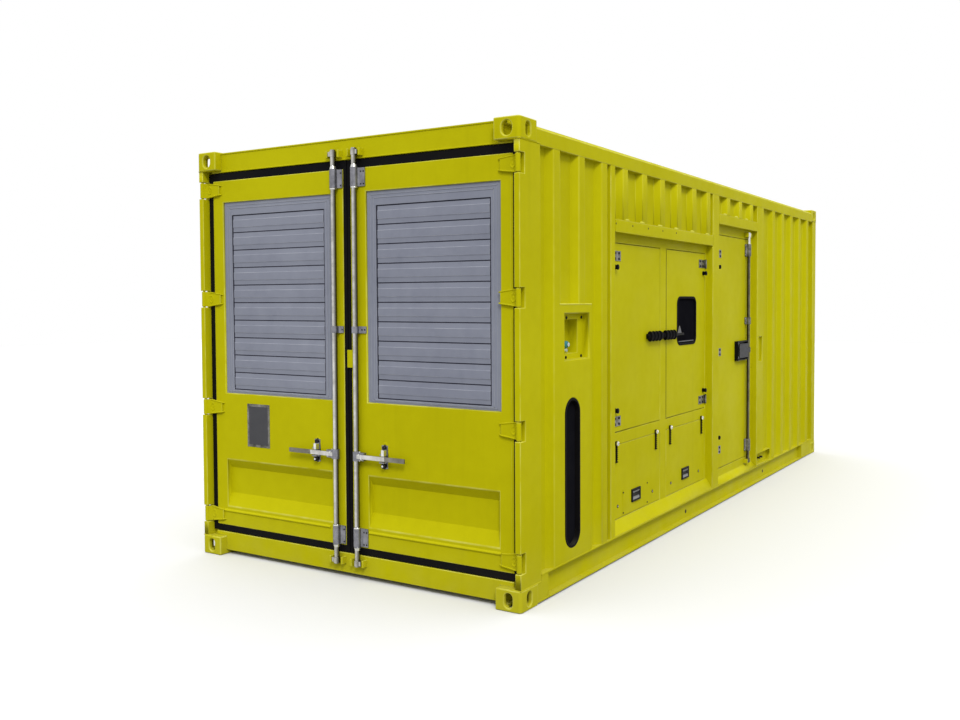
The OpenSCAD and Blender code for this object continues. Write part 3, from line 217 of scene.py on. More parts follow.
def finish_group(group, gives, **results):
    """Links what a group has worked out to its outputs."""
    for label, value in results.items():
        group.links.new(value, gives.inputs[label])
    return group


def object_place(tree):
    return add_node(tree, "TexCoord").outputs["Object"]


def noise(tree, place, scale, detail=2.0):
    """Smooth noise from 0 to 1."""
    return add_node(tree, "TexNoise", {"Vector": place, "Scale": scale,
                                       "Detail": detail}).outputs["Fac"]


def rescale(tree, value, low, high, to_low=0.0, to_high=1.0):
    """Maps low..high to to_low..to_high and holds it there."""
    return add_node(tree, "MapRange", {
        "Value": value, "From Min": low, "From Max": high,
        "To Min": to_low, "To Max": to_high}).outputs["Result"]


def times(tree, *values):
    """The product of two or more numbers."""
    product = values[0]
    for value in values[1:]:
        product = combine(tree, "MULTIPLY", product, value)
    return product


print("group tools ready")

# %% [markdown]
# *Uneven tone* drifts slowly between two close colours, as sprayed paint does where one
# pass overlaps the next. *Orange peel* is the fine ripple of a thick coat.

# %% Build the paint effects
tree, given, gives = start_group(
    "uneven_tone", [("Colour", "Color", WHITE), ("Deeper", "Color", (0, 0, 0, 1))],
    [("Colour", "Color")])
place = object_place(tree)
broad = times(tree, noise(tree, place, 0.9, 3.0), 0.7)
fine = times(tree, noise(tree, place, 14.0, 4.0), 0.3)
drift = rescale(tree, combine(tree, "ADD", broad, fine), 0.35, 0.68)
uneven_tone = finish_group(tree, gives, Colour=blend_colours(tree, drift, given["Colour"],
                                                             given["Deeper"]))

tree, given, gives = start_group("orange_peel", [("Scale", "Float", 180.0)],
                                 [("Height", "Float")])
orange_peel = finish_group(tree, gives, Height=noise(tree, object_place(tree), given["Scale"]))
print("built", uneven_tone.name, "and", orange_peel.name)

# %% [markdown]
# *The edge group* reads a mark that the rounded edges carry, and breaks it up, so that the
# paint turns paler along corners: partly worn paint, partly a painted highlight where a
# rounded edge catches the light. *Settled dust* gathers on faces that look up and near the
# ground, and *rain marks* run down the walls in thin streaks.

# %% Build the wear and edge highlight effects
tree, given, gives = start_group("edge_wear_and_highlight", [("Amount", "Float", 0.5)], [("Mask", "Float")])
mark = add_node(tree, "Attribute", attribute_name="edge_wear_and_highlight").outputs["Fac"]
broken = rescale(tree, noise(tree, object_place(tree), 9.0, 4.0), 0.3, 0.62)
edge_wear_and_highlight = finish_group(tree, gives, Mask=times(tree, mark, broken, given["Amount"]))

tree, given, gives = start_group(
    "settled_dust", [("Amount", "Float", 0.5), ("Ground reach", "Float", 0.5)],
    [("Mask", "Float")])
near_ground = rescale(tree, height_in(tree, "Object"), 0.0, given["Ground reach"], 0.45, 0.0)
flat_top = rescale(tree, height_in(tree, "Normal"), 0.55, 0.95)
patchy = rescale(tree, noise(tree, object_place(tree), 6.0, 6.0), 0.3, 0.75)
settled_dust = finish_group(tree, gives, Mask=times(
    tree, combine(tree, "MAXIMUM", near_ground, flat_top), patchy, given["Amount"]))

STREAKS = (22.0, 22.0, 0.55)        # close together across a wall, long down it
tree, given, gives = start_group("rain_marks", [("Amount", "Float", 0.3)], [("Mask", "Float")])
place = object_place(tree)
drawn_out = add_node(tree, "Mapping", {"Vector": place, "Scale": STREAKS}).outputs[0]
thin = rescale(tree, noise(tree, drawn_out, 1.0, 3.0), 0.52, 0.74)
patches = rescale(tree, noise(tree, place, 0.8, 1.0), 0.45, 0.7)
rain_marks = finish_group(tree, gives, Mask=times(tree, thin, patches, given["Amount"]))
print("built", edge_wear_and_highlight.name, settled_dust.name, "and", rain_marks.name)

# %% [markdown]
# *Metal grain* is for bare metal: fine drawn lines along one direction, with a cloudy
# dullness where zinc or steel has aged.

# %% Build the metal effect
tree, given, gives = start_group("metal_grain", [("Grain", "Vector", (400.0, 400.0, 12.0))],
                                 [("Lines", "Float"), ("Clouds", "Float")])
place = object_place(tree)
along = add_node(tree, "VectorMath", {0: place, 1: given["Grain"]},
                 operation="MULTIPLY").outputs[0]
metal_grain = finish_group(tree, gives, Lines=noise(tree, along, 1.0),
                           Clouds=rescale(tree, noise(tree, place, 24.0, 5.0), 0.3, 0.7))
print(len(bpy.data.node_groups), "shared effects")


# %% [markdown]
# ## The finishes
# Each finish is one Principled shader. The groups above drive its colour, roughness and
# bump. Values that are the same all over are typed straight onto the shader.


# %% Tools for materials
def start_material(name, **fixed):
    """A material with one Principled shader, its even values set on the sockets."""
    material = bpy.data.materials.new(name)
    material.use_nodes = True
    shader = material.node_tree.nodes["Principled BSDF"]
    for socket, value in fixed.items():
        shader.inputs[socket.replace("_", " ")].default_value = value
    return material, material.node_tree, shader.inputs


def effect(tree, group, **inputs):
    """Places a shared effect; its outputs are read by name."""
    placed = tree.nodes.new("ShaderNodeGroup")
    placed.node_tree = group
    for name, value in inputs.items():
        placed.inputs[name.replace("_", " ")].default_value = value
    return placed.outputs


def bump(tree, height, strength, distance):
    return add_node(tree, "Bump", {"Height": height, "Strength": strength,
                                   "Distance": distance}).outputs["Normal"]


def drive(tree, surface, colour, roughness, normal):
    """Links what changes over a surface to its shader."""
    for socket, value in (("Base Color", colour), ("Roughness", roughness), ("Normal", normal)):
        tree.links.new(value, surface[socket])


DUST = (0.42, 0.40, 0.30, 1)
STREAK_SHADE = 0.72                 # a rain mark has this part of the paint's colour


def painted(name, colour, deeper, edge, dust=0.18, rain=0.25, rough=(0.42, 0.58), gloss=0.3):
    """Sprayed two-pack paint: drifting tone, pale edges (part wear, part painted highlight), dust,
    rain marks and peel.
    """
    material, tree, surface = start_material(name, Specular_IOR_Level=gloss, IOR=1.2)
    tone = effect(tree, uneven_tone, Colour=(*colour, 1), Deeper=(*deeper, 1))["Colour"]
    # The pale edge colour stands partly for worn paint and partly for a painted highlight on
    # rounded corners.
    edged = blend_colours(tree, effect(tree, edge_wear_and_highlight, Amount=0.7)["Mask"], tone, (*edge, 1))
    streaked = blend_colours(tree, effect(tree, rain_marks, Amount=rain)["Mask"], edged,
                             (*(part * STREAK_SHADE for part in colour), 1))
    dirt = effect(tree, settled_dust, Amount=dust, Ground_reach=0.35)["Mask"]
    cloudy = noise(tree, object_place(tree), 3.5, 4.0)
    peel = effect(tree, orange_peel, Scale=160.0)["Height"]
    drive(tree, surface, blend_colours(tree, dirt, streaked, DUST),
          rescale(tree, cloudy, 0.3, 0.7, *rough), bump(tree, peel, 0.12, 0.0006))
    return material


print("material tools ready")

# %% [markdown]
# The body colour is a sharp lemon yellow. The louvres and their frames carry a cool
# grey, a little paler on the frames, and the floor inside a dull dark one.

# %% Mix the paints
# Each paint's third colour is its pale edge, partly worn paint and partly a painted highlight.
yellow_paint = painted("yellow_paint", (0.560, 0.525, 0.003), (0.500, 0.462, 0.002),
                       (0.680, 0.660, 0.120), gloss=0.15)
grey_paint = painted("grey_paint", (0.285, 0.300, 0.360), (0.225, 0.238, 0.295),
                     (0.55, 0.56, 0.60), dust=0.15, rain=0.2, rough=(0.42, 0.55))
frame_grey = painted("frame_grey", (0.335, 0.350, 0.400), (0.265, 0.280, 0.330),
                     (0.60, 0.61, 0.64), dust=0.15, rain=0.2, rough=(0.42, 0.55))
floor_paint = painted("floor_paint", (0.105, 0.105, 0.110), (0.075, 0.075, 0.08),
                      (0.2, 0.2, 0.2), dust=0.2, rough=(0.5, 0.7))
print("four paints")


# %% [markdown]
# Bare metals differ in tone and in how sharp their grain is: the locking bars are zinc
# plated and slightly milky, the hinges are brushed stainless steel. The bars carry painted
# shade: each is brighter where it faces outward and darker on its flanks, which stands for
# the dark reflection along the sides of a round bar, so the bars' finishes compare the
# surface direction with the way that they face.


# %% Mix the metals
def bare_metal(name, colour, dull, grain, rough, metallic=0.9, faces=None, painted_flank_shade=(0, 0, 0)):
    """Bare metal; with `faces`, its sides away from that direction take a darker tone: painted
    shade.
    """
    material, tree, surface = start_material(name, Metallic=metallic)
    worn = effect(tree, metal_grain, Grain=grain)
    tone = blend_colours(tree, worn["Clouds"], (*colour, 1), (*dull, 1))
    # Painted shade: the flanks take a dark tone that stands for the dark reflection along a bar's
    # sides.
    if faces:
        normal = add_node(tree, "TexCoord").outputs["Normal"]
        turned_out = add_node(tree, "VectorMath", {0: normal, 1: faces},
                              operation="DOT_PRODUCT").outputs["Value"]
        tone = blend_colours(tree, rescale(tree, turned_out, 0.66, 0.96), (*painted_flank_shade, 1), tone)
    drive(tree, surface, tone, rescale(tree, worn["Lines"], 0.25, 0.75, *rough),
          bump(tree, worn["Lines"], 0.15, 0.0003))
    return material


# The flank tones of the two bar finishes below are painted shade on the sides of the bars.
zinc_plate = bare_metal("zinc_plate", (0.62, 0.61, 0.58), (0.38, 0.37, 0.34),
                        (260.0, 260.0, 14.0), (0.14, 0.24), metallic=1.0,
                        faces=(0, -1, 0), painted_flank_shade=(0.15, 0.145, 0.12))
side_bar_steel = bare_metal("side_bar_steel", (0.17, 0.16, 0.10), (0.08, 0.075, 0.04),
                            (260.0, 260.0, 14.0), (0.16, 0.28), metallic=1.0,
                            faces=(0.8, -0.6, 0), painted_flank_shade=(0.035, 0.03, 0.015))
stainless = bare_metal("stainless", (0.24, 0.235, 0.21), (0.05, 0.048, 0.04),
                       (30.0, 500.0, 500.0), (0.20, 0.34), metallic=0.95)
dark_steel = bare_metal("dark_steel", (0.028, 0.028, 0.032), (0.012, 0.012, 0.014),
                        (150.0, 150.0, 150.0), (0.40, 0.58))
bearing_steel = bare_metal("bearing_steel", (0.30, 0.30, 0.33), (0.15, 0.15, 0.17),
                           (160.0, 160.0, 30.0), (0.25, 0.42), metallic=0.75)
worn_steel = bare_metal("worn_steel", (0.25, 0.24, 0.20), (0.11, 0.10, 0.08),
                        (18.0, 200.0, 200.0), (0.30, 0.50), metallic=0.8)
bright_steel = bare_metal("bright_steel", (0.78, 0.78, 0.76), (0.56, 0.56, 0.54),
                          (200.0, 200.0, 200.0), (0.12, 0.22))
print("seven metals")


# %% [markdown]
# Rubber and plastic are nearly black or coloured, with a fine moulded texture. The
# panes are dark tinted glass, so they are smooth, glossy and almost black.


# %% Mix the rubber, plastics and glass
GRIME = (0.10, 0.095, 0.07, 1)


def moulded(name, colour, worn, rough, texture, gloss=0.3, bend=1.2):
    """Rubber, plastic or glass with a fine texture and a little dust."""
    material, tree, surface = start_material(name, Specular_IOR_Level=gloss, IOR=bend)
    tone = effect(tree, uneven_tone, Colour=(*colour, 1), Deeper=(*worn, 1))["Colour"]
    dirt = effect(tree, settled_dust, Amount=0.35, Ground_reach=0.2)["Mask"]
    grain = noise(tree, object_place(tree), texture, 3.0)
    drive(tree, surface, blend_colours(tree, dirt, tone, GRIME),
          rescale(tree, grain, 0.3, 0.7, *rough), bump(tree, grain, 0.2, 0.0004))
    return material


black_rubber = moulded("black_rubber", (0.005, 0.005, 0.006), (0.010, 0.009, 0.008),
                       (0.5, 0.7), 420.0, gloss=0.15)
grip_rubber = moulded("grip_rubber", (0.003, 0.003, 0.004), (0.006, 0.006, 0.006),
                      (0.32, 0.48), 420.0, gloss=0.2)
black_plastic = moulded("black_plastic", (0.006, 0.006, 0.007), (0.012, 0.012, 0.012),
                        (0.3, 0.45), 700.0, gloss=0.2)
grey_plastic = moulded("grey_plastic", (0.33, 0.33, 0.32), (0.26, 0.26, 0.25),
                       (0.35, 0.5), 600.0)
dull_grey = moulded("dull_grey", (0.19, 0.19, 0.195), (0.14, 0.14, 0.145),
                    (0.45, 0.6), 500.0, gloss=0.2)
control_blue = moulded("control_blue", (0.07, 0.30, 0.36), (0.05, 0.22, 0.28),
                       (0.2, 0.3), 300.0)
control_white = moulded("control_white", (0.62, 0.68, 0.70), (0.5, 0.56, 0.58),
                        (0.25, 0.35), 300.0)
dark_glass = moulded("dark_glass", (0.006, 0.006, 0.008), (0.011, 0.011, 0.014),
                     (0.05, 0.1), 5.0, gloss=0.0, bend=1.05)
print(len(bpy.data.materials), "finishes")


# %% [markdown]
# ## Rounding the steel
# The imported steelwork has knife-sharp corners. Pressed sheet and castings do not, and a
# rounded edge is what catches the light. Each painted node is copied, its flat faces
# are joined, and every corner with room for it is rounded with a bevel. First come the
# tools that copy a node and tell which of its edges may be rounded.


# %% Tools that choose the edges
SHARP, FLAT = 12.0, 0.6             # degrees: a bend above is a corner, one below is none
JOIN, AT_END = 0.02 * MM, 0.3 * MM  # corners this close are one; this near an end is on it
ROOM = 2.2                          # a rounded edge needs faces this many radii wide


def welded_copy(node):
    """A node's mesh, ready to edit, with the corners that its faces share made one."""
    shape = bmesh.new()
    shape.from_mesh(frame["nodes"][node].data)
    bmesh.ops.remove_doubles(shape, verts=shape.verts[:], dist=JOIN)
    return shape


def room_beside(edge, face):
    """How far a face reaches from an edge, measured square to it."""
    start = edge.verts[0].co
    along = (edge.verts[1].co - start).normalized()
    return max(((v.co - start) - along * (v.co - start).dot(along)).length for v in face.verts)


def has_room(edge, radius):
    return all(room_beside(edge, face) > ROOM * radius for face in edge.link_faces)


def at_an_end(edge, low, high, axes):
    """Whether an edge lies on the end of its node along one of the named axes."""
    for i in ("xyz".index(axis) for axis in axes):
        for end in (low[i], high[i]):
            if all(abs(vertex.co[i] - end) < AT_END for vertex in edge.verts):
                return True
    return False


print("corners bend by more than", SHARP, "degrees")

# %% [markdown]
# A built shape becomes an object with a finish, rides on one of the bodies, and is shaded
# smoothly over its rounded strips. Weighted normals keep its flat faces flat.


# %% Tools that make a piece
def to_object(shape, name, body, material):
    """Turns a built shape into a piece that rides on a body."""
    mesh = bpy.data.meshes.new(name)
    shape.to_mesh(mesh)
    shape.free()
    piece = bpy.data.objects.new(name, mesh)
    scene.collection.objects.link(piece)
    mesh.materials.append(material)
    even = piece.modifiers.new("even_shading", "WEIGHTED_NORMAL")
    even.keep_sharp = True
    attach(piece, body)
    return piece


def shade(shape, angle):
    """Smooth shading over rounded strips, with the other edges above an angle crisp."""
    band = shape.faces.layers.float.get("edge_wear_and_highlight")
    for face in shape.faces:
        face.smooth = True
    for edge in shape.edges:
        on_strip = band is not None and any(face[band] > 0 for face in edge.link_faces)
        gentle = len(edge.link_faces) == 2 and edge.calc_face_angle(0) < math.radians(angle)
        edge.smooth = on_strip or gentle


print("pieces ride on", ", ".join(sorted(set(body_of.values()))))

# %% [markdown]
# The bevel's new faces carry the mark that the paint reads for its pale edges, partly wear
# and partly painted highlight. The finished copy then stands for its node, and is kept in
# `dressed` for the finishes that come later.


# %% A tool that rounds a node
dressed = {}


def rounded(node, radius, material, segments=2, inner=False, butts="", worn=1.0):
    """Puts a copy with rounded corners in a node's place; ends that butt stay sharp."""
    shape = welded_copy(node)
    bmesh.ops.dissolve_limit(shape, angle_limit=math.radians(FLAT), verts=shape.verts[:],
                             edges=shape.edges[:])
    low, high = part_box(node)
    corners = [e for e in shape.edges if len(e.link_faces) == 2 and (inner or e.is_convex)
               and e.calc_face_angle(0) > math.radians(SHARP) and has_room(e, radius * MM)
               and not at_an_end(e, low, high, butts)]
    band = shape.faces.layers.float.new("edge_wear_and_highlight")
    made = bmesh.ops.bevel(shape, geom=corners, offset=radius * MM, offset_type="OFFSET",
                           segments=segments, profile=0.5, affect="EDGES")
    # The mark sets how strongly the pale edge, part wear and part painted highlight, shows on
    # these faces.
    for face in made["faces"]:
        face[band] = worn
    shade(shape, SHARP)
    dressed[node] = to_object(shape, node + "_rounded", body_of[node], material)
    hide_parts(node)


print("rounding tool ready")

# %% [markdown]
# Sheets bend over a generous radius, castings are the roundest, and machined parts are
# only broken at the edge, so each node gets its own radius in millimetres. The letters
# name the directions in which a part butts on its neighbours; those ends stay sharp, so
# no gap opens there. On the sheets the hollow bends are rounded too, save for the front
# one, which is folded tightly. The bends of a sheet get a fainter pale edge than the edges
# of a frame; that pale edge is partly wear and partly a painted highlight.

# %% Round the painted steel
SHEETS = {"roof": (5.0, "xy"), "blind_side_wall": (6.0, "yz"), "blind_end_wall": (6.0, "xz"),
          "panels_over_doors": (6.0, "yz"), "rear_side_panel": (6.0, "yz")}
FRAME_AND_DOORS = {
    "corner_castings": (7.0, ""), "corner_posts": (4.0, "z"), "end_rails": (3.5, "x"),
    "top_side_rails": (4.0, "y"), "side_posts": (4.0, "z"), "side_lintels": (4.0, "y"),
    "service_frame": (2.0, "yz"), "personnel_frame": (2.0, "yz"), "cam_keepers": (1.5, ""),
    "hatch_panels": (2.5, ""), "niche_box": (1.5, ""), "earth_box": (1.0, ""),
    "left_door": (5.0, ""), "right_door": (5.0, ""), "left_hinge_blades": (2.0, ""),
    "right_hinge_blades": (2.0, ""), "left_service_door": (3.0, ""),
    "right_service_door": (3.0, ""), "personnel_door": (3.0, ""),
}
# On the sheets the pale edge, part wear and part painted highlight, shows only faintly.
for node, (radius, butts) in SHEETS.items():
    rounded(node, radius, yellow_paint, inner=True, butts=butts, worn=0.2)
rounded("front_side_panel", 6.0, yellow_paint, butts="yz", worn=0.3)
for node, (radius, butts) in FRAME_AND_DOORS.items():
    rounded(node, radius, yellow_paint, butts=butts)
for node in ("left_louvre", "right_louvre"):
    rounded(node, 0.8, grey_paint, segments=1)
print(len(dressed), "painted nodes rounded")

# %% [markdown]
# Some nodes carry a second finish on a part of their faces: dark glass within a rubber
# rim, a paler frame around the slats of a louvre, a yellow tab between zinc plates. One
# tool picks faces by where they lie. Another cuts a piece along a plane first, where a
# finish ends in the middle of a face.


# %% Tools for a second finish
def second_finish(piece, material, chosen):
    """Gives another finish to the faces that `chosen` picks by middle (mm) and normal."""
    piece.data.materials.append(material)
    for face in piece.data.polygons:
        if chosen(face.center / MM, face.normal):
            face.material_index = len(piece.data.materials) - 1


def part_across(piece, place, normal):
    """Cuts the faces of a piece along a plane (mm), so that each side can be picked."""
    shape = bmesh.new()
    shape.from_mesh(piece.data)
    bmesh.ops.bisect_plane(shape, geom=shape.verts[:] + shape.edges[:] + shape.faces[:],
                           plane_co=Vector(place) * MM, plane_no=normal)
    shape.to_mesh(piece.data)
    shape.free()


def span(node):
    """The two corners of a node, in mm."""
    return [Vector(corner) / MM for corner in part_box(node)]


print("the end doors reach out to", round(span("left_door")[0].y), "mm")

# %% [markdown]
# The hardware is rounded like the painted steel, but over smaller radii, since machined
# and moulded parts are only broken at their edges.

# %% Round the hardware
FRAME_SIDE, FRAME_HEAD, FRAME_FOOT = 66, 82, 24     # mm of frame around a louvre's slats
for louvre in ("left_louvre", "right_louvre"):
    low, high = span(louvre)
    second_finish(dressed[louvre], frame_grey, lambda at, out: not (
        low.x + FRAME_SIDE - 1 < at.x < high.x - FRAME_SIDE + 1
        and low.z + FRAME_FOOT - 1 < at.z < high.z - FRAME_HEAD + 1))

HARDWARE = (
    (1.0, "zinc_plate", zinc_plate, ("left_bar_brackets", "right_bar_brackets")),
    (0.8, "zinc_plate", zinc_plate, ("left_lock_bar", "right_lock_bar")),
    (0.8, "stainless", stainless, ("personnel_bar_brackets",)),
    (0.8, "zinc_plate", side_bar_steel, ("personnel_lock_bar",)),
    (0.5, "stainless", stainless, ("left_service_hinges", "right_service_hinges",
                                   "personnel_hinges", "side_hinge_bases")),
    (1.2, "black_rubber", black_plastic, ("personnel_lock_case",)),
    (1.0, "black_rubber", black_plastic, ("hatch_pulls",)),
    (2.0, "black_rubber", black_rubber, ("left_seal", "right_seal", "slot_window")),
    (1.5, "black_rubber", black_rubber, ("vision_window",)),
)
for radius, slot, material, nodes in HARDWARE:
    for node in nodes:
        rounded(node, radius, material)

SQUARE_ON = 0.9                     # a normal with this much of a direction looks that way
pane_rim, slot_rim = span("vision_window")[1].x, span("slot_window")[1].x
second_finish(dressed["vision_window"], dark_glass,
              lambda at, out: abs(out.x) > SQUARE_ON and pane_rim - 16 < at.x < pane_rim - 12)
second_finish(dressed["slot_window"], dark_glass,
              lambda at, out: out.x > SQUARE_ON and at.x < slot_rim - 20)
print(len(dressed), "nodes rounded with the hardware")

# %% [markdown]
# The floor, the members under it and the side rails stay as they come, and only get
# their paint.

# %% Paint the rolled sections
for node, material in (("floor_plate", floor_paint), ("cross_members", yellow_paint),
                       ("bottom_side_rails", yellow_paint)):
    for place in frame["nodes"][node].material_slots:
        place.material = material
print("underframe painted")

# %% [markdown]
# ## Small shapes
# Welds, screws and grips are drawn in millimetres, and two tools find their places.
# `solids` takes a node apart, so that a row of hinges or brackets can be dressed one by
# one. `seat` looks for the surface of a node under a place, so that each fastener sits on
# the metal and not above it.


# %% Tools that find a place
from mathutils.bvhtree import BVHTree

END_OUT, SIDE_OUT, UP = Vector((0, -1, 0)), Vector((1, 0, 0)), Vector((0, 0, 1))
FAR_OUT = 5000                      # mm; outside the container from any side
surfaces = {}


def solids(node):
    """The separate solids of a node: the low and high corner of each, in mm."""
    shape = welded_copy(node)
    boxes, seen = [], set()
    for first in shape.verts:
        if first in seen:
            continue
        seen.add(first)
        group, todo = [], [first]
        while todo:
            here = todo.pop()
            group.append(here.co / MM)
            for edge in here.link_edges:
                other = edge.other_vert(here)
                if other not in seen:
                    seen.add(other)
                    todo.append(other)
        boxes.append((Vector(map(min, zip(*group))), Vector(map(max, zip(*group)))))
    shape.free()
    return sorted(boxes, key=lambda pair: (round(pair[0].z), round(pair[0].y), round(pair[0].x)))


def seat(node, place, out):
    """The point of a node that is met when coming in against `out` at a place."""
    if node not in surfaces:
        mesh = frame["nodes"][node].data
        surfaces[node] = BVHTree.FromPolygons([v.co / MM for v in mesh.vertices],
                                              [face.vertices[:] for face in mesh.polygons])
    place = Vector(place)
    met = surfaces[node].ray_cast(place + out * (FAR_OUT - place.dot(out)), -out)[0]
    if met is None:
        raise ValueError(f"nothing of {node} under {tuple(place)}")
    return met


print(len(solids("hatch_latches")), "hatch latches found")

# %% [markdown]
# Three tools draw nearly everything: a block with broken edges, a turned shape made of
# rings, as from a lathe, and a plate pushed out from an outline. A block is bevelled on its
# own and then copied over: shapes added after a bevel in the same mesh would be stored in
# another order on each run.


# %% Tools that draw a solid
def block(shape, low, high, soft):
    """A block between two corners, with its edges broken."""
    solid = bmesh.new()
    bmesh.ops.create_cube(solid, size=1.0)
    low, high = Vector(low), Vector(high)
    for vertex in solid.verts:
        vertex.co = (low + high) / 2 + vertex.co * (high - low)
    bmesh.ops.bevel(solid, geom=solid.edges[:], offset=soft, offset_type="OFFSET",
                    segments=1, profile=0.5, affect="EDGES")
    copies = {vertex: shape.verts.new(vertex.co) for vertex in solid.verts}
    for face in solid.faces:
        shape.faces.new([copies[vertex] for vertex in face.verts])
    solid.free()


def turned(shape, start, along, profile, sides, flatten=(1, 1, 1)):
    """Rings of (distance, radius) along a line, with closed ends, stretched by `flatten`."""
    start, along = Vector(start), Vector(along).normalized()
    side = along.orthogonal().normalized()
    up = along.cross(side)
    stretch = Vector(flatten)
    rings = []
    for distance, radius in profile:
        around = [(math.cos(turn) * side + math.sin(turn) * up) * radius
                  for turn in (math.tau * (i + 0.5) / sides for i in range(sides))]
        rings.append([shape.verts.new(start + along * distance + offset * stretch)
                      for offset in around])
    for below, above in zip(rings, rings[1:]):
        for i in range(sides):
            j = (i + 1) % sides
            shape.faces.new((below[i], below[j], above[j], above[i]))
    shape.faces.new(rings[0][::-1])
    shape.faces.new(rings[-1])


def plate(shape, outline, start, across, up, depth):
    """A plate: an outline, drawn anticlockwise, pushed out towards the viewer."""
    out = Vector(across).cross(Vector(up)) * depth
    back = [shape.verts.new(Vector(start) + Vector(across) * u + Vector(up) * v)
            for u, v in outline]
    front = [shape.verts.new(vertex.co + out) for vertex in back]
    shape.faces.new(front)
    shape.faces.new(back[::-1])
    for i in range(len(front)):
        j = (i + 1) % len(front)
        shape.faces.new((back[i], back[j], front[j], front[i]))


print("three ways to draw a solid")

# %% [markdown]
# Beads and fasteners are turned. A weld bead is a thin rod whose thickness ripples by
# chance, from a fixed seed, so that it comes out the same each time. There are three
# kinds of fastener: a low rivet, a dished screw and a hexagon head on a washer.

# %% Tools for welds and fasteners
CRISP = 34.0                        # degrees; small shapes are smooth below this bend
chance = random.Random(20)


def bead(shape, start, end, radius, step=12):
    """A rod whose thickness ripples."""
    length = (Vector(end) - Vector(start)).length
    steps = max(3, int(length / step))
    turned(shape, start, Vector(end) - Vector(start),
           [(length * i / steps, radius * chance.uniform(0.75, 1.15))
            for i in range(steps + 1)], sides=6)


def rivet(shape, place, out, size):
    """A low dome."""
    turned(shape, place, out, [(-0.5, size), (0.3 * size, 0.85 * size),
                               (0.5 * size, 0.45 * size), (0.55 * size, 0.1 * size)], 12)


def screw(shape, place, out, size):
    """A round head with a dished middle."""
    turned(shape, place, out, [(-0.5, size), (0.3 * size, size), (0.45 * size, 0.8 * size),
                               (0.3 * size, 0.55 * size), (0.15 * size, 0.2 * size)], 14)


def hex_bolt(shape, place, out, size):
    """A hexagon head on a washer."""
    turned(shape, place, out, [(-0.5, 1.45 * size), (1.6, 1.45 * size), (2.0, 1.3 * size)], 16)
    turned(shape, Vector(place) + out * 1.8, out,
           [(0, size), (0.6 * size, size), (0.75 * size, 0.8 * size)], 6)


def fasten(shape, fastener, size, node, ys, zs):
    """Puts a fastener on a node of the side wherever one of the ys meets one of the zs."""
    for y in ys:
        for z in zs:
            fastener(shape, seat(node, (0, y, z), SIDE_OUT), SIDE_OUT, size)


def piece_of(shape, name, body="enclosure", material=yellow_paint):
    """Scales a shape drawn in millimetres and hands it on as a piece, yellow unless told."""
    bmesh.ops.scale(shape, vec=(MM,) * 3, verts=shape.verts[:])
    shade(shape, CRISP)
    return to_object(shape, name, body, material)


print("weld and fastener tools ready")

# %% [markdown]
# ## Welds and edges of the frame
# A bead runs wherever a post meets a casting, and down each seam between a post and the
# corrugated sheet beside it. The beads are real rods and not a bump in the paint, so that
# they catch the light from every side.

# %% Weld the frame
CASTING_WIDTH, CASTING_BEAD = 162, 3.4
SEAM_INSET, SEAM_STOP, SEAM_BEAD = 1.5, 4, 3.0
welds = bmesh.new()
for low, high in solids("corner_posts"):
    outer_x, outer_y, _ = (max(pair, key=abs) for pair in zip(low, high))
    inner_x, inner_y, _ = (min(pair, key=abs) for pair in zip(low, high))
    for z in (low.z, high.z):
        bead(welds, (inner_x, outer_y, z), (outer_x, outer_y, z), CASTING_BEAD)
        bead(welds, (outer_x, outer_y, z), (outer_x, inner_y, z), CASTING_BEAD)


def seam(x, y, low, high):
    bead(welds, (x, y, low.z + SEAM_STOP), (x, y, high.z - SEAM_STOP), SEAM_BEAD)


for node in ("front_side_panel", "panels_over_doors", "rear_side_panel", "blind_side_wall"):
    for low, high in solids(node):
        out = SIDE_OUT if low.x > 0 else -SIDE_OUT
        for y in (low.y + SEAM_INSET, high.y - SEAM_INSET):
            seam(seat(node, (0, y, (low.z + high.z) / 2), out).x, y, low, high)
low, high = span("blind_end_wall")
for x in (low.x + SEAM_INSET, high.x - SEAM_INSET):
    seam(x, seat("blind_end_wall", (x, 0, (low.z + high.z) / 2), -END_OUT).y, low, high)
piece_of(welds, "frame_welds")
print("frame welded")

# %% [markdown]
# The header over the end doors has a folded lip above and below its face, and so has each
# lintel of the side.

# %% Fold the lips
LOWER_LIP, UPPER_LIP = 7, 9         # mm high
lips = bmesh.new()
header_low, header_high = [pair for pair in solids("end_rails")
                           if pair[0].y < 0 and pair[0].z > 1000][0]
reach = span("corner_castings")[1].x - CASTING_WIDTH
for z, tall, forward in ((header_low.z, LOWER_LIP, 3.4),
                         (header_high.z - UPPER_LIP, UPPER_LIP, 4.0)):
    block(lips, (-reach, header_low.y - forward, z), (reach, header_low.y + 2, z + tall), 1.2)
for x in (reach - 40, 40 - reach):
    bead(lips, (x, header_low.y, header_low.z + LOWER_LIP),
         (x, header_low.y, header_high.z - UPPER_LIP), 2.6)
for low, high in solids("side_lintels"):
    for below, above in ((high.z - 1.5, high.z + 2.5), (low.z - 2.0, low.z + 1.5)):
        block(lips, (high.x - 3, low.y + 4, below), (high.x - 0.5, high.y - 4, above), 0.8)
piece_of(lips, "header_lips")
print("lips folded")

# %% [markdown]
# Short fillets close the feet of the ribs above the lintels, and one long bead closes the
# seam over the control niche. Both are painted a little paler than the sheets: a painted
# highlight for the light that they catch.

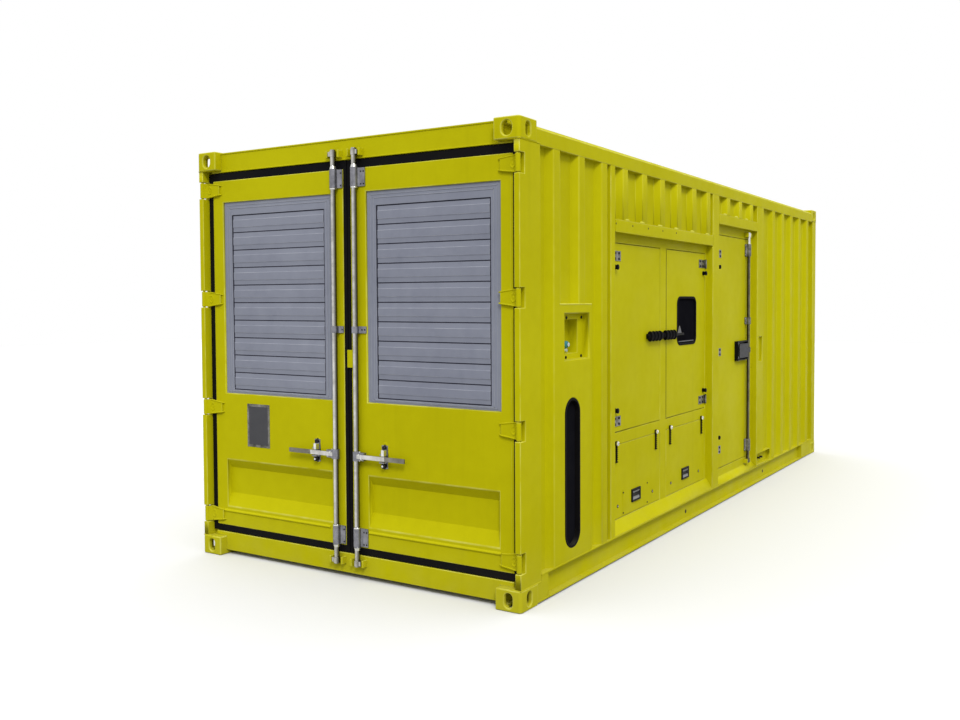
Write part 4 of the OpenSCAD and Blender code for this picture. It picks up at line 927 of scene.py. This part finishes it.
# %% Close the seams
RIB_FEET = ((178, 418, 714, 1004, 1317, 1632), (150, 430, 700))     # mm along each lintel
fillets = bmesh.new()
for (low, high), places in zip(solids("side_lintels"), RIB_FEET):
    for along_y in places:
        turned(fillets, (high.x - 7, low.y + along_y - 38, high.z + 5), (0, 1, 0),
               [(0, 0.6), (8, 6.0), (32, 8.5), (60, 6.5), (76, 0.6)], 10)
niche_low, niche_high = span("niche_box")
lip_z = niche_high.z + 51
lip_x = seat("front_side_panel", (0, niche_low.y - 20, lip_z - 12), SIDE_OUT).x - 2
bead(fillets, (lip_x, niche_low.y - 60, lip_z), (lip_x, niche_high.y + 26, lip_z), 4.5, 16)
# Paler than the yellow: a painted highlight on the fillets and the bead.
seam_highlight_paint = painted("seam_highlight_paint", (0.72, 0.70, 0.08), (0.64, 0.62, 0.05), (0.8, 0.8, 0.4),
                    dust=0.2)
piece_of(fillets, "seam_fillets", "enclosure", seam_highlight_paint)
print("seams closed")

# %% [markdown]
# ## The locking bars
# Each bar turns in two long bearings and a guide that are riveted to the door. The
# bearings and the clamp of the handle are duller than the bar, and the collars at the
# bearings are the brightest spots. The handle is cut across behind its catch, so that the
# end that hands hold can take a darker finish than the rest.

# %% Finish the locking bars
SIDES = (("left", -1), ("right", 1))
DOOR_FACE = -2978                   # mm; where the outer face of both end doors lies
AXIS_INSET, AXIS_Y = 22, DOOR_FACE - 25         # the line that a bar turns on
HUB_Z = 735                         # the height of the handles
ROD, COLLAR = 17, 23                # mm; the rod is thinner than one, the collars than both
TAB_EDGE, TAB_Z, TAB_HALF = 57.5, 1300, 60      # the yellow tab on the right leaf


def bar_axis(side, sign):
    return sign * (min(abs(corner.x) for corner in span(side + "_lock_bar")) + AXIS_INSET)


def catch_of(side):
    """The two corners of the bracket that the handle rests in."""
    return [pair for pair in solids(side + "_bar_brackets") if 600 < pair[0].z < 800][0]


for side, sign in SIDES:
    brackets, bar = dressed[side + "_bar_brackets"], dressed[side + "_lock_bar"]
    axis_x = bar_axis(side, sign)
    grip_x = (sum(catch_of(side), Vector()) / 2).x + sign * 24
    part_across(bar, (grip_x, 0, 0), (1, 0, 0))

    def on_tab(at):
        return sign > 0 and at.x < TAB_EDGE and abs(at.z - TAB_Z) < TAB_HALF

    def off_axis(at):
        return math.hypot(at.x - axis_x, at.y - AXIS_Y)

    second_finish(brackets, bearing_steel, lambda at, out: not on_tab(at))
    if sign > 0:
        second_finish(brackets, yellow_paint, lambda at, out: on_tab(at))
    second_finish(bar, bright_steel, lambda at, out: ROD < off_axis(at) < COLLAR
                  and abs(at.z - HUB_Z) > 60 and (150 < at.z < 2450 or abs(out.z) > SQUARE_ON))
    second_finish(bar, bearing_steel, lambda at, out: off_axis(at) > ROD
                  and abs(at.z - HUB_Z) < 29 and abs(at.x - axis_x) < 70)
    second_finish(bar, worn_steel, lambda at, out: sign * (at.x - grip_x) > 0)
print("locking bars finished")

# %% [markdown]
# The brackets are riveted on, save where the bar would hide a rivet. The catch is an oval
# base with a turning latch at its foot and a stop at its head. Two hexagon bolts close the
# clamp around the handle, and a nut ends its pin above and below.

# %% Fit the rivets, catches and clamps
for side, sign in SIDES:
    door, brackets, axis_x = side + "_end_door", side + "_bar_brackets", bar_axis(side, sign)
    parts = solids(brackets)
    bearings = [pair for pair in parts
                if pair[1].z - pair[0].z > 100 and pair[0].y < DOOR_FACE - 42]
    guide = [pair for pair in parts if pair[1].z - pair[0].z < 60][0]
    dark, bright = bmesh.new(), bmesh.new()
    for low, high in bearings + [guide]:
        heights = (low.z + 14, high.z - 22) if high.z - low.z > 60 else ((low.z + high.z) / 2,)
        for x in (low.x + 7, high.x - 9, high.x - 29 if sign > 0 else high.x - 26):
            if abs(x - axis_x) >= 25:
                for z in heights:
                    rivet(dark, seat(brackets, (x, 0, z), END_OUT), END_OUT, 5.5)

    catch_low, catch_high = catch_of(side)
    middle, base_y = (catch_low + catch_high) / 2, DOOR_FACE - 2

    def catch_part(shape, y, z, rings, sides, flatten=(1, 1, 1)):
        turned(shape, (middle.x, y, z), END_OUT, rings, sides, flatten)

    boss = bmesh.new()
    catch_part(boss, DOOR_FACE - 1, middle.z, [(0, 37), (1.5, 36), (3, 31)], 32, (1, 1, 2.35))
    piece_of(boss, side + "_catch_boss", door)
    catch_part(dark, base_y, middle.z, [(0, 25), (3, 25), (4, 23)], 28, (1, 1, 2.9))
    catch_part(dark, base_y, catch_low.z + 16, [(0, 15), (22, 15), (26, 12), (27, 5)], 18)
    catch_part(bright, base_y - 25, catch_low.z + 16, [(0, 7), (4, 7), (6, 4)], 12)
    block(bright, (middle.x - 2, base_y - 38, HUB_Z + 13),
          (middle.x + 17, base_y - 4, catch_high.z - 22), 3)
    catch_part(dark, base_y, catch_high.z - 14, [(0, 13), (14, 13), (18, 9)], 18)
    piece_of(dark, side + "_bracket_rivets", door, dark_steel)
    piece_of(bright, side + "_catch_latch", door, bright_steel)

    clamp = bmesh.new()
    for x, z in ((axis_x + sign * 30, HUB_Z + 10), (axis_x + sign * 50, HUB_Z - 10)):
        hex_bolt(clamp, seat(side + "_lock_bar", (x, 0, z), END_OUT), END_OUT, 5.0)
    for end in (1, -1):
        turned(clamp, (axis_x + sign * 26, AXIS_Y - 1, HUB_Z + end * 22.5), UP * end,
               [(-1, 6.5), (5, 6.5), (6.5, 4.5)], 6)
    piece_of(clamp, side + "_clamp_bolts", side + "_end_bar", bright_steel)
print("locking bars dressed")

# %% [markdown]
# ## The end doors
# Low on each leaf runs a thin folded ledge, and the right leaf has a fold along its hinge
# side. Each part of a door gets a tool of its own, and the doors are dressed one after
# the other when all the tools are there.


# %% A tool that folds the ledge
def fold_ledge(side, sign):
    """The ledge of a leaf, and the fold of the right one."""
    leaf_low, leaf_high = span(side + "_door")
    front = leaf_low.y
    near, far = sorted((abs(leaf_low.x), abs(leaf_high.x)))
    ledge = bmesh.new()
    ledge_from, ledge_to = sorted((sign * (near + 122), sign * (far - 70)))
    plate(ledge, [(1, 15), (0, 15), (-7, 5), (-7, 2), (0, -8), (1, -8)],
          (ledge_from, front, leaf_low.z + 92), (0, 1, 0), UP, ledge_to - ledge_from)
    if sign > 0:
        half_way = (leaf_low.z + leaf_high.z) / 2
        for below, above in ((leaf_low.z + 2, half_way), (half_way, leaf_high.z - 2)):
            block(ledge, (leaf_high.x - 6, front + 0.3, below),
                  (leaf_high.x + 10, front + 3, above), 1.0)
    piece_of(ledge, side + "_door_ledge", side + "_end_door")


print("ledge tool ready")

# %% [markdown]
# The frame of each louvre has two steps. Dark strips above, below, between and beside its
# slats are painted shade for the gaps there.

# %% Tools for the louvres
SLATS = 10
# A dark blue-grey that stands for the shade in the gaps of a louvre.
louvre_gap_shade = moulded("louvre_gap_shade", (0.035, 0.035, 0.05), (0.02, 0.02, 0.03), (0.5, 0.7), 420.0)


def lay_gap_shade(side):
    """Painted shade: a dark strip above, below and between the slats, and one at each side."""
    low, high = span(side + "_louvre")
    gap_shade = bmesh.new()
    x0, x1 = low.x + FRAME_SIDE, high.x - FRAME_SIDE
    z0, z1 = low.z + FRAME_FOOT, high.z - FRAME_HEAD
    slat_y = low.y + 4
    for i in range(SLATS + 1):
        z = z0 + i * (z1 - z0) / SLATS
        under, over = (0, 7.0) if i == 0 else (7.0, 0) if i == SLATS else (3.2, 3.2)
        block(gap_shade, (x0 + 1, slat_y - 0.6, z - under), (x1 - 1, slat_y + 5, z + over), 0.6)
    for x in (x0, x1 - 8):
        block(gap_shade, (x + 0.5, slat_y + 0.5, z0 + 0.5), (x + 7.5, slat_y + 6, z1 - 0.5), 0.8)
    piece_of(gap_shade, side + "_slat_gap_shade", side + "_end_door", louvre_gap_shade)


def step_frame(side):
    """Two raised rectangles, one within the other, on the frame of a louvre."""
    low, high = span(side + "_louvre")
    steps = bmesh.new()
    for inset, thick in ((24, 4), (46, 5)):
        left, right_end, head = low.x + inset, high.x - inset, high.z - inset * 0.8
        foot = low.z + 5 + inset * 0.22
        for from_x, from_z, to_x, to_z in ((left, foot, left + thick, head),
                                           (right_end - thick, foot, right_end, head),
                                           (left, head - thick, right_end, head),
                                           (left, foot, right_end, foot + thick)):
            block(steps, (from_x, low.y - 2.0, from_z), (to_x, low.y + 1, to_z), 0.8)
    piece_of(steps, side + "_louvre_steps", side + "_end_door", frame_grey)


print(SLATS + 1, "strips of painted gap shade on each louvre")

# %% [markdown]
# The hinge blades are forged: two ridges run out from the pin and turn in at the tip, and
# a shallow dimple lies between them.


# %% Dress the end doors
def raise_ridges(side, sign):
    """The ridges and the dimple of every hinge blade of a door."""
    raised = bmesh.new()
    face_y = span(side + "_door")[0].y - 12
    for low, high in solids(side + "_hinge_blades"):
        middle_z = (low.z + high.z) / 2
        pin_x, tip_x = (high.x - 14, low.x) if sign > 0 else (low.x + 14, high.x)
        for end in (1, -1):
            turned(raised, (pin_x - sign * 26, face_y + 1, middle_z + end * 44),
                   (tip_x - pin_x + sign * 26, 0, -end * 13),
                   [(0, 3), (8, 4.2), (abs(tip_x - pin_x) - 30, 4.2)], 8)
            turned(raised, (tip_x + sign * 4, face_y + 1, middle_z + end * 31.5),
                   (-sign * 20, 10.5, -end * 4), [(0, 4.2), (16, 4.2), (24, 1.5)], 8)
        turned(raised, (pin_x - sign * 44, face_y + 0.5, middle_z), END_OUT,
               [(0, 19), (2.5, 18), (3, 16), (1.2, 13.5), (0.6, 6), (2.2, 5), (2.4, 2)], 24,
               flatten=(1, 1, 1.35))
    piece_of(raised, side + "_hinge_ridges", side + "_end_door")


for side, sign in SIDES:
    fold_ledge(side, sign)
    lay_gap_shade(side)
    step_frame(side)
    raise_ridges(side, sign)
print("end doors dressed")

# %% [markdown]
# The left leaf carries a bare data plate: a dull board in a light rim with four rivets.

# %% Fix the data plate
plate_low, plate_high = Vector((-848, 0, 718)), Vector((-652, 0, 990))
door_front = span("left_door")[0].y
rim, board = bmesh.new(), bmesh.new()
block(rim, (plate_low.x, door_front - 2.2, plate_low.z),
      (plate_high.x, door_front + 1, plate_high.z), 0.8)
for x in (plate_low.x + 8, plate_high.x - 8):
    for z in (plate_low.z + 8, plate_high.z - 8):
        rivet(rim, (x, door_front - 2.2, z), END_OUT, 4.0)
piece_of(rim, "data_plate_rim", "left_end_door", stainless)
block(board, (plate_low.x + 16, door_front - 3.0, plate_low.z + 16),
      (plate_high.x - 16, door_front - 1, plate_high.z - 16), 0.5)
data_plate_grey = moulded("data_plate_grey", (0.085, 0.085, 0.09), (0.065, 0.065, 0.07),
                          (0.35, 0.5), 500.0)
piece_of(board, "data_plate_board", "left_end_door", data_plate_grey)
print("data plate fixed")

# %% [markdown]
# ## Hinges and screws of the side
# Every flap takes four screws and every base two. The pin of each hinge ends in a dark
# cap above and below.

# %% Fit the hinge screws
SCREW_INSET = 14                    # mm from the top and the foot of a flap
PIN_X = 1173                        # mm; where the pins of the hinges stand
for flaps, body, way in (("left_service_hinges", "left_service", 1),
                         ("right_service_hinges", "right_service", -1),
                         ("personnel_hinges", "personnel", 1)):
    screws = bmesh.new()
    for low, high in solids(flaps):
        pin_end = low.y if way > 0 else high.y
        fasten(screws, screw, 8.5, flaps, (pin_end + way * 58, pin_end + way * 114),
               (low.z + SCREW_INSET, high.z - SCREW_INSET))
        for z, out in ((low.z, -UP), (high.z, UP)):
            turned(screws, (PIN_X, pin_end + way * 7, z), out, [(-2, 6), (3, 6), (4.5, 3.5)], 14)
    piece_of(screws, flaps + "_screws", body, dark_steel)

screws = bmesh.new()
for low, high in solids("side_hinge_bases"):
    faces_back = -300 < low.y < -100            # the two bases of the right service door
    y = high.y - 9 if faces_back else low.y + 9
    fasten(screws, screw, 4.5, "side_hinge_bases", (y,),
           (low.z + SCREW_INSET, high.z - SCREW_INSET))
piece_of(screws, "hinge_base_screws", "enclosure", dark_steel)
print("hinge screws in")

# %% [markdown]
# ## Grips and buffers
# The service doors have ribbed rubber grips, and rubber buffers stop them. Both are turned
# as in a lathe: pairs of rings make the ribs of a grip and smaller rings close its nose,
# and a few rings make a buffer with its waist.

# %% Tools for grips and buffers
RIB_PITCH = 27.0                    # mm


def ribbed_grip(shape, start_y, end_y, x, z):
    """A flattened barrel with ribs, thinner at its start."""
    profile = [(0, 3), (10, 9), (20, 10)]
    for i in range(1, int((end_y - start_y) / RIB_PITCH)):
        crest = 21.0 if i % 2 else 17.5
        profile += [(i * RIB_PITCH + on, radius)
                    for on, radius in ((0, 5), (3, crest), (10, crest), (13, 5))]
    profile.append((end_y - start_y, 10))
    turned(shape, (x, start_y, z), (0, 1, 0), profile, 20, flatten=(1, 1, 1.7))


def buffer(shape, low, high):
    """A rubber stop with a waist, standing where a plain one stood."""
    turned(shape, (low.x, (low.y + high.y) / 2, (low.z + high.z) / 2), SIDE_OUT,
           [(0, 17), (6, 17), (8, 14), (20, 14), (22, 17), (28, 17), (31, 13), (32, 6)], 20)


print("a rib every", RIB_PITCH, "mm")

# %% [markdown]
# Each grip stands on two feet. The right one goes on as a flat arm across the window, with
# a small pointer on it, and a black strip down one edge of its door is painted shade for the
# gap beside it.

# %% Fit the grips and buffers
WALL_X = 1165.0                     # mm; the face of the service doors
ARM_FROM, ARM_TO = 1184, 1195       # mm; the arm's back and front
for side in ("left", "right"):
    node, body = side + "_service_handle", side + "_service"
    rubber = bmesh.new()
    for low, high in solids(node):
        if high.y - low.y < 50:
            buffer(rubber, low, high)
            continue
        middle = (low + high) / 2
        end = high.y if side == "left" else low.y + 224
        ribbed_grip(rubber, low.y, end, middle.x + 1, middle.z)
        for y in (low.y + 30, end - 34):
            block(rubber, (WALL_X, y - 12, middle.z - 17), (middle.x, y + 12, middle.z + 17), 3)
        if side == "right":
            block(rubber, (ARM_FROM, end - 20, middle.z - 9), (ARM_TO, end + 150, middle.z + 9), 3)
            pointer = bmesh.new()
            plate(pointer, [(0, 0), (62, 0), (30, 52)], (ARM_FROM + 2, end + 44, middle.z + 8),
                  (0, 1, 0), UP, 6.0)
            piece_of(pointer, "right_handle_pointer", body, dull_grey)
            # A black strip down the door's edge: painted shade for the gap there.
            gap_shade_strip = bmesh.new()
            door_low, door_high = span("right_service_door")
            block(gap_shade_strip, (door_high.x - 8, door_low.y - 2.2, door_low.z + 4),
                  (door_high.x + 0.4, door_low.y + 1, door_high.z - 4), 0.6)
            piece_of(gap_shade_strip, "right_door_gap_shade", body, black_rubber)
    piece = piece_of(rubber, node + "_grip", body, grip_rubber)
    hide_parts(node)
print("grips and buffers fitted")

# %% [markdown]
# ## Hatches
# The lower hatches hang on black strap latches. Each is a ribbed strap with a block at its
# foot, and a bright ring at its head.

# %% Make the strap latches
straps, rings = bmesh.new(), bmesh.new()
for low, high in solids("hatch_latches"):
    y = (low.y + high.y) / 2
    block(straps, (low.x, y - 4, low.z + 8), (low.x + 10, y + 4, high.z - 24), 1.5)
    for i in range(7):
        z = low.z + 18 + i * 13
        block(straps, (low.x + 3, y - 7.5, z), (low.x + 14, y + 7.5, z + 7), 1.5)
    block(straps, (low.x + 1, y - 10, low.z), (low.x + 14, y + 10, low.z + 10), 2.5)
    block(straps, (low.x, y - 12, high.z - 31), (low.x + 13, y + 12, high.z), 4)
    turned(rings, (low.x + 12, y, high.z - 15), SIDE_OUT,
           [(0, 14.5), (6, 14.5), (8.5, 12.5), (8.5, 10), (3, 8.5), (3, 4), (6, 3.5),
            (6.5, 2)], 24)
piece = piece_of(straps, "hatch_latch_straps", "enclosure", black_rubber)
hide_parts("hatch_latches")
piece_of(rings, "hatch_latch_rings", "enclosure", bright_steel)
print("strap latches made")

# %% [markdown]
# A hatch is lifted by flush pulls: a black frame, a grey tray and a bar across. The tray
# slopes above and below the bar, so it is drawn as two plates.

# %% Lay the trays
trays = bmesh.new()
for low, high in solids("hatch_pulls"):
    middle_z = (low.z + high.z) / 2
    for start_z, end_z, deep_low, deep_high in ((middle_z + 13, high.z - 17, 0.6, 5.0),
                                                (low.z + 12, middle_z - 10, 4.0, 0.6)):
        plate(trays, [(0, start_z), (deep_low, start_z), (deep_high, end_z), (0, end_z)],
              (low.x + 3, high.y - 14, 0), (1, 0, 0), UP, high.y - low.y - 28)
piece_of(trays, "hatch_pull_trays", "enclosure", grey_plastic)
print("trays laid")

# %% [markdown]
# Two turn screws hold each hatch near its foot, and the left one has four small screws
# around its pull.

# %% Fit the hatch screws
turn_screws, screw_rings = bmesh.new(), bmesh.new()
for low, high in solids("hatch_panels"):
    for y in (low.y + 90, high.y - 128):
        at = seat("hatch_panels", (0, y, low.z + 80), SIDE_OUT)
        turned(screw_rings, at, SIDE_OUT,
               [(-0.5, 11), (1.5, 11), (2.5, 9.5), (2.5, 7.5), (1.0, 7)], 18)
        screw(turn_screws, at + SIDE_OUT, SIDE_OUT, 4.5)
low, high = solids("hatch_pulls")[0]
middle = (low + high) / 2
fasten(screw_rings, screw, 6.0, "hatch_panels", (middle.y - 188, middle.y + 192),
       (middle.z - 90, middle.z + 42))
piece_of(turn_screws, "hatch_turn_screws", "enclosure", bright_steel)
piece_of(screw_rings, "hatch_screw_rings", "enclosure", dark_steel)
print("hatch screws in")

# %% [markdown]
# ## Niche, lintel, rail and windows
# Four dark screws hold the flange of the control niche. Dark discs over the drain holes of
# the lintel and the rail are painted shade for the inside of the holes.

# %% Fit the screws and plugs
LINTEL_HOLE_SHADES, HOLE_PITCH = 5, 245
RAIL_HOLE_SHADES, RAIL_HOLE_Z = (-610, 1298), 63
dark = bmesh.new()
low, high = span("niche_box")
for y, z in ((low.y + 90, high.z - 26), (high.y - 29, high.z - 26),
             (low.y + 82, low.z + 13), (high.y - 33, low.z + 14)):
    fasten(dark, screw, 9.0, "niche_box", (y,), (z,))
low, high = solids("side_lintels")[0]
# Painted shade: the dark discs below stand for the shaded insides of the drain holes.
for i in range(LINTEL_HOLE_SHADES):
    turned(dark, (high.x, low.y + 7 + HOLE_PITCH * i, low.z + 50), SIDE_OUT,
           [(-1, 6.5), (0.7, 6), (0.8, 4)], 14)
for y in RAIL_HOLE_SHADES:
    turned(dark, seat("bottom_side_rails", (0, y, RAIL_HOLE_Z), SIDE_OUT), SIDE_OUT,
           [(-1, 15), (1.0, 14), (1.2, 11)], 20)
piece_of(dark, "side_screws", "enclosure", black_plastic)
print("screws in, drain holes shaded")

# %% [markdown]
# Two controls stand at the back of the niche: a blue knob with a white cap, over a small
# white ring with a blue middle.

# %% Turn the controls
white, blue = bmesh.new(), bmesh.new()
for low, high in solids("niche_controls"):
    y, z, r = (low.y + high.y) / 2, (low.z + high.z) / 2, (high.z - low.z) / 2
    if r > 15:
        turned(blue, (low.x, y, z), SIDE_OUT,
               [(0, r), (14, r), (17, r - 2), (19, r - 7), (26, r - 8)], 24)
        turned(white, (low.x + 25, y, z), SIDE_OUT, [(0, r - 9), (2, r - 9), (3, r - 12)], 20)
    else:
        turned(white, (low.x, y, z), SIDE_OUT,
               [(0, r), (14, r), (16, r - 2), (16, r - 4), (12, r - 5)], 20)
        turned(blue, (low.x + 10, y, z), SIDE_OUT, [(0, r - 5), (4, r - 5), (5, r - 7)], 16)
piece = piece_of(blue, "niche_knob", "enclosure", control_blue)
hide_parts("niche_controls")
piece_of(white, "niche_cap", "enclosure", control_white)
print("controls turned")

# %% [markdown]
# The earth terminal box has two dark studs and a folded top edge. A slim grey strip at the
# foot of the pane of the right service door is a painted highlight on the glass.

# %% Dress the earth box and the pane
low, high = span("earth_box")
stud_z, stud_ys = low.z + 56, (low.y + 124, low.y + 194)
second_finish(dressed["earth_box"], dark_steel, lambda at, out: abs(at.z - stud_z) < 10
              and at.x > low.x + 4 and min(abs(at.y - y) for y in stud_ys) < 10)
strip = bmesh.new()
block(strip, (high.x - 4, low.y + 2, high.z - 5), (high.x + 1, high.y - 2, high.z + 1), 1)
piece_of(strip, "earth_box_edge")

# A painted highlight: a grey strip at the foot of the dark pane.
pane = bmesh.new()
low, high = span("vision_window")
block(pane, (high.x - 13.5, low.y + 24, low.z + 24), (high.x - 11, high.y - 24, low.z + 31), 0.8)
piece_of(pane, "vision_window_highlight", "right_service", dull_grey)
print("earth box and pane dressed")

# %% [markdown]
# ## The door for people
# Its lock case is a black tray with a grey face, its buffers are turned rubber, and its
# bar runs in three bearings with bright rivets. The bar has a bright finish above the top
# bearing, and the paddle that turns it, inside the lock case, is dark.

# %% Dress the door for people
case_low, case_high = span("personnel_lock_case")
face_plate, bolts = bmesh.new(), bmesh.new()
block(face_plate, (case_low.x + 7, case_low.y + 12, case_low.z + 14),
      (case_low.x + 14, case_low.y + 86, case_high.z - 14), 2)
turned(face_plate, (case_low.x + 12, case_low.y + 50, (case_low.z + case_high.z) / 2), SIDE_OUT,
       [(0, 18), (5, 18), (8, 14), (8, 8), (4, 7)], 22)
piece_of(face_plate, "lock_case_face", "personnel", bearing_steel)

bar_piece, bearings = dressed["personnel_lock_bar"], solids("personnel_bar_brackets")
bar_collar = max(high.z for low, high in bearings) + 2
part_across(bar_piece, (0, 0, bar_collar), UP)
second_finish(bar_piece, bright_steel, lambda at, out: at.z > bar_collar)
second_finish(bar_piece, dark_steel,
              lambda at, out: case_low.z < at.z < case_high.z and at.y < case_high.y)
for low, high in bearings:
    fasten(bolts, rivet, 4.5, "personnel_bar_brackets", (low.y + 7, high.y - 7),
           (low.z + 12, high.z - 12))
piece_of(bolts, "personnel_bracket_rivets", "personnel", bright_steel)

rubber = bmesh.new()
for low, high in solids("personnel_buffers"):
    buffer(rubber, low, high)
piece = piece_of(rubber, "personnel_buffer_pair", "personnel", black_rubber)
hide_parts("personnel_buffers")
print("door for people dressed")

# %% [markdown]

# %% Import json
import json
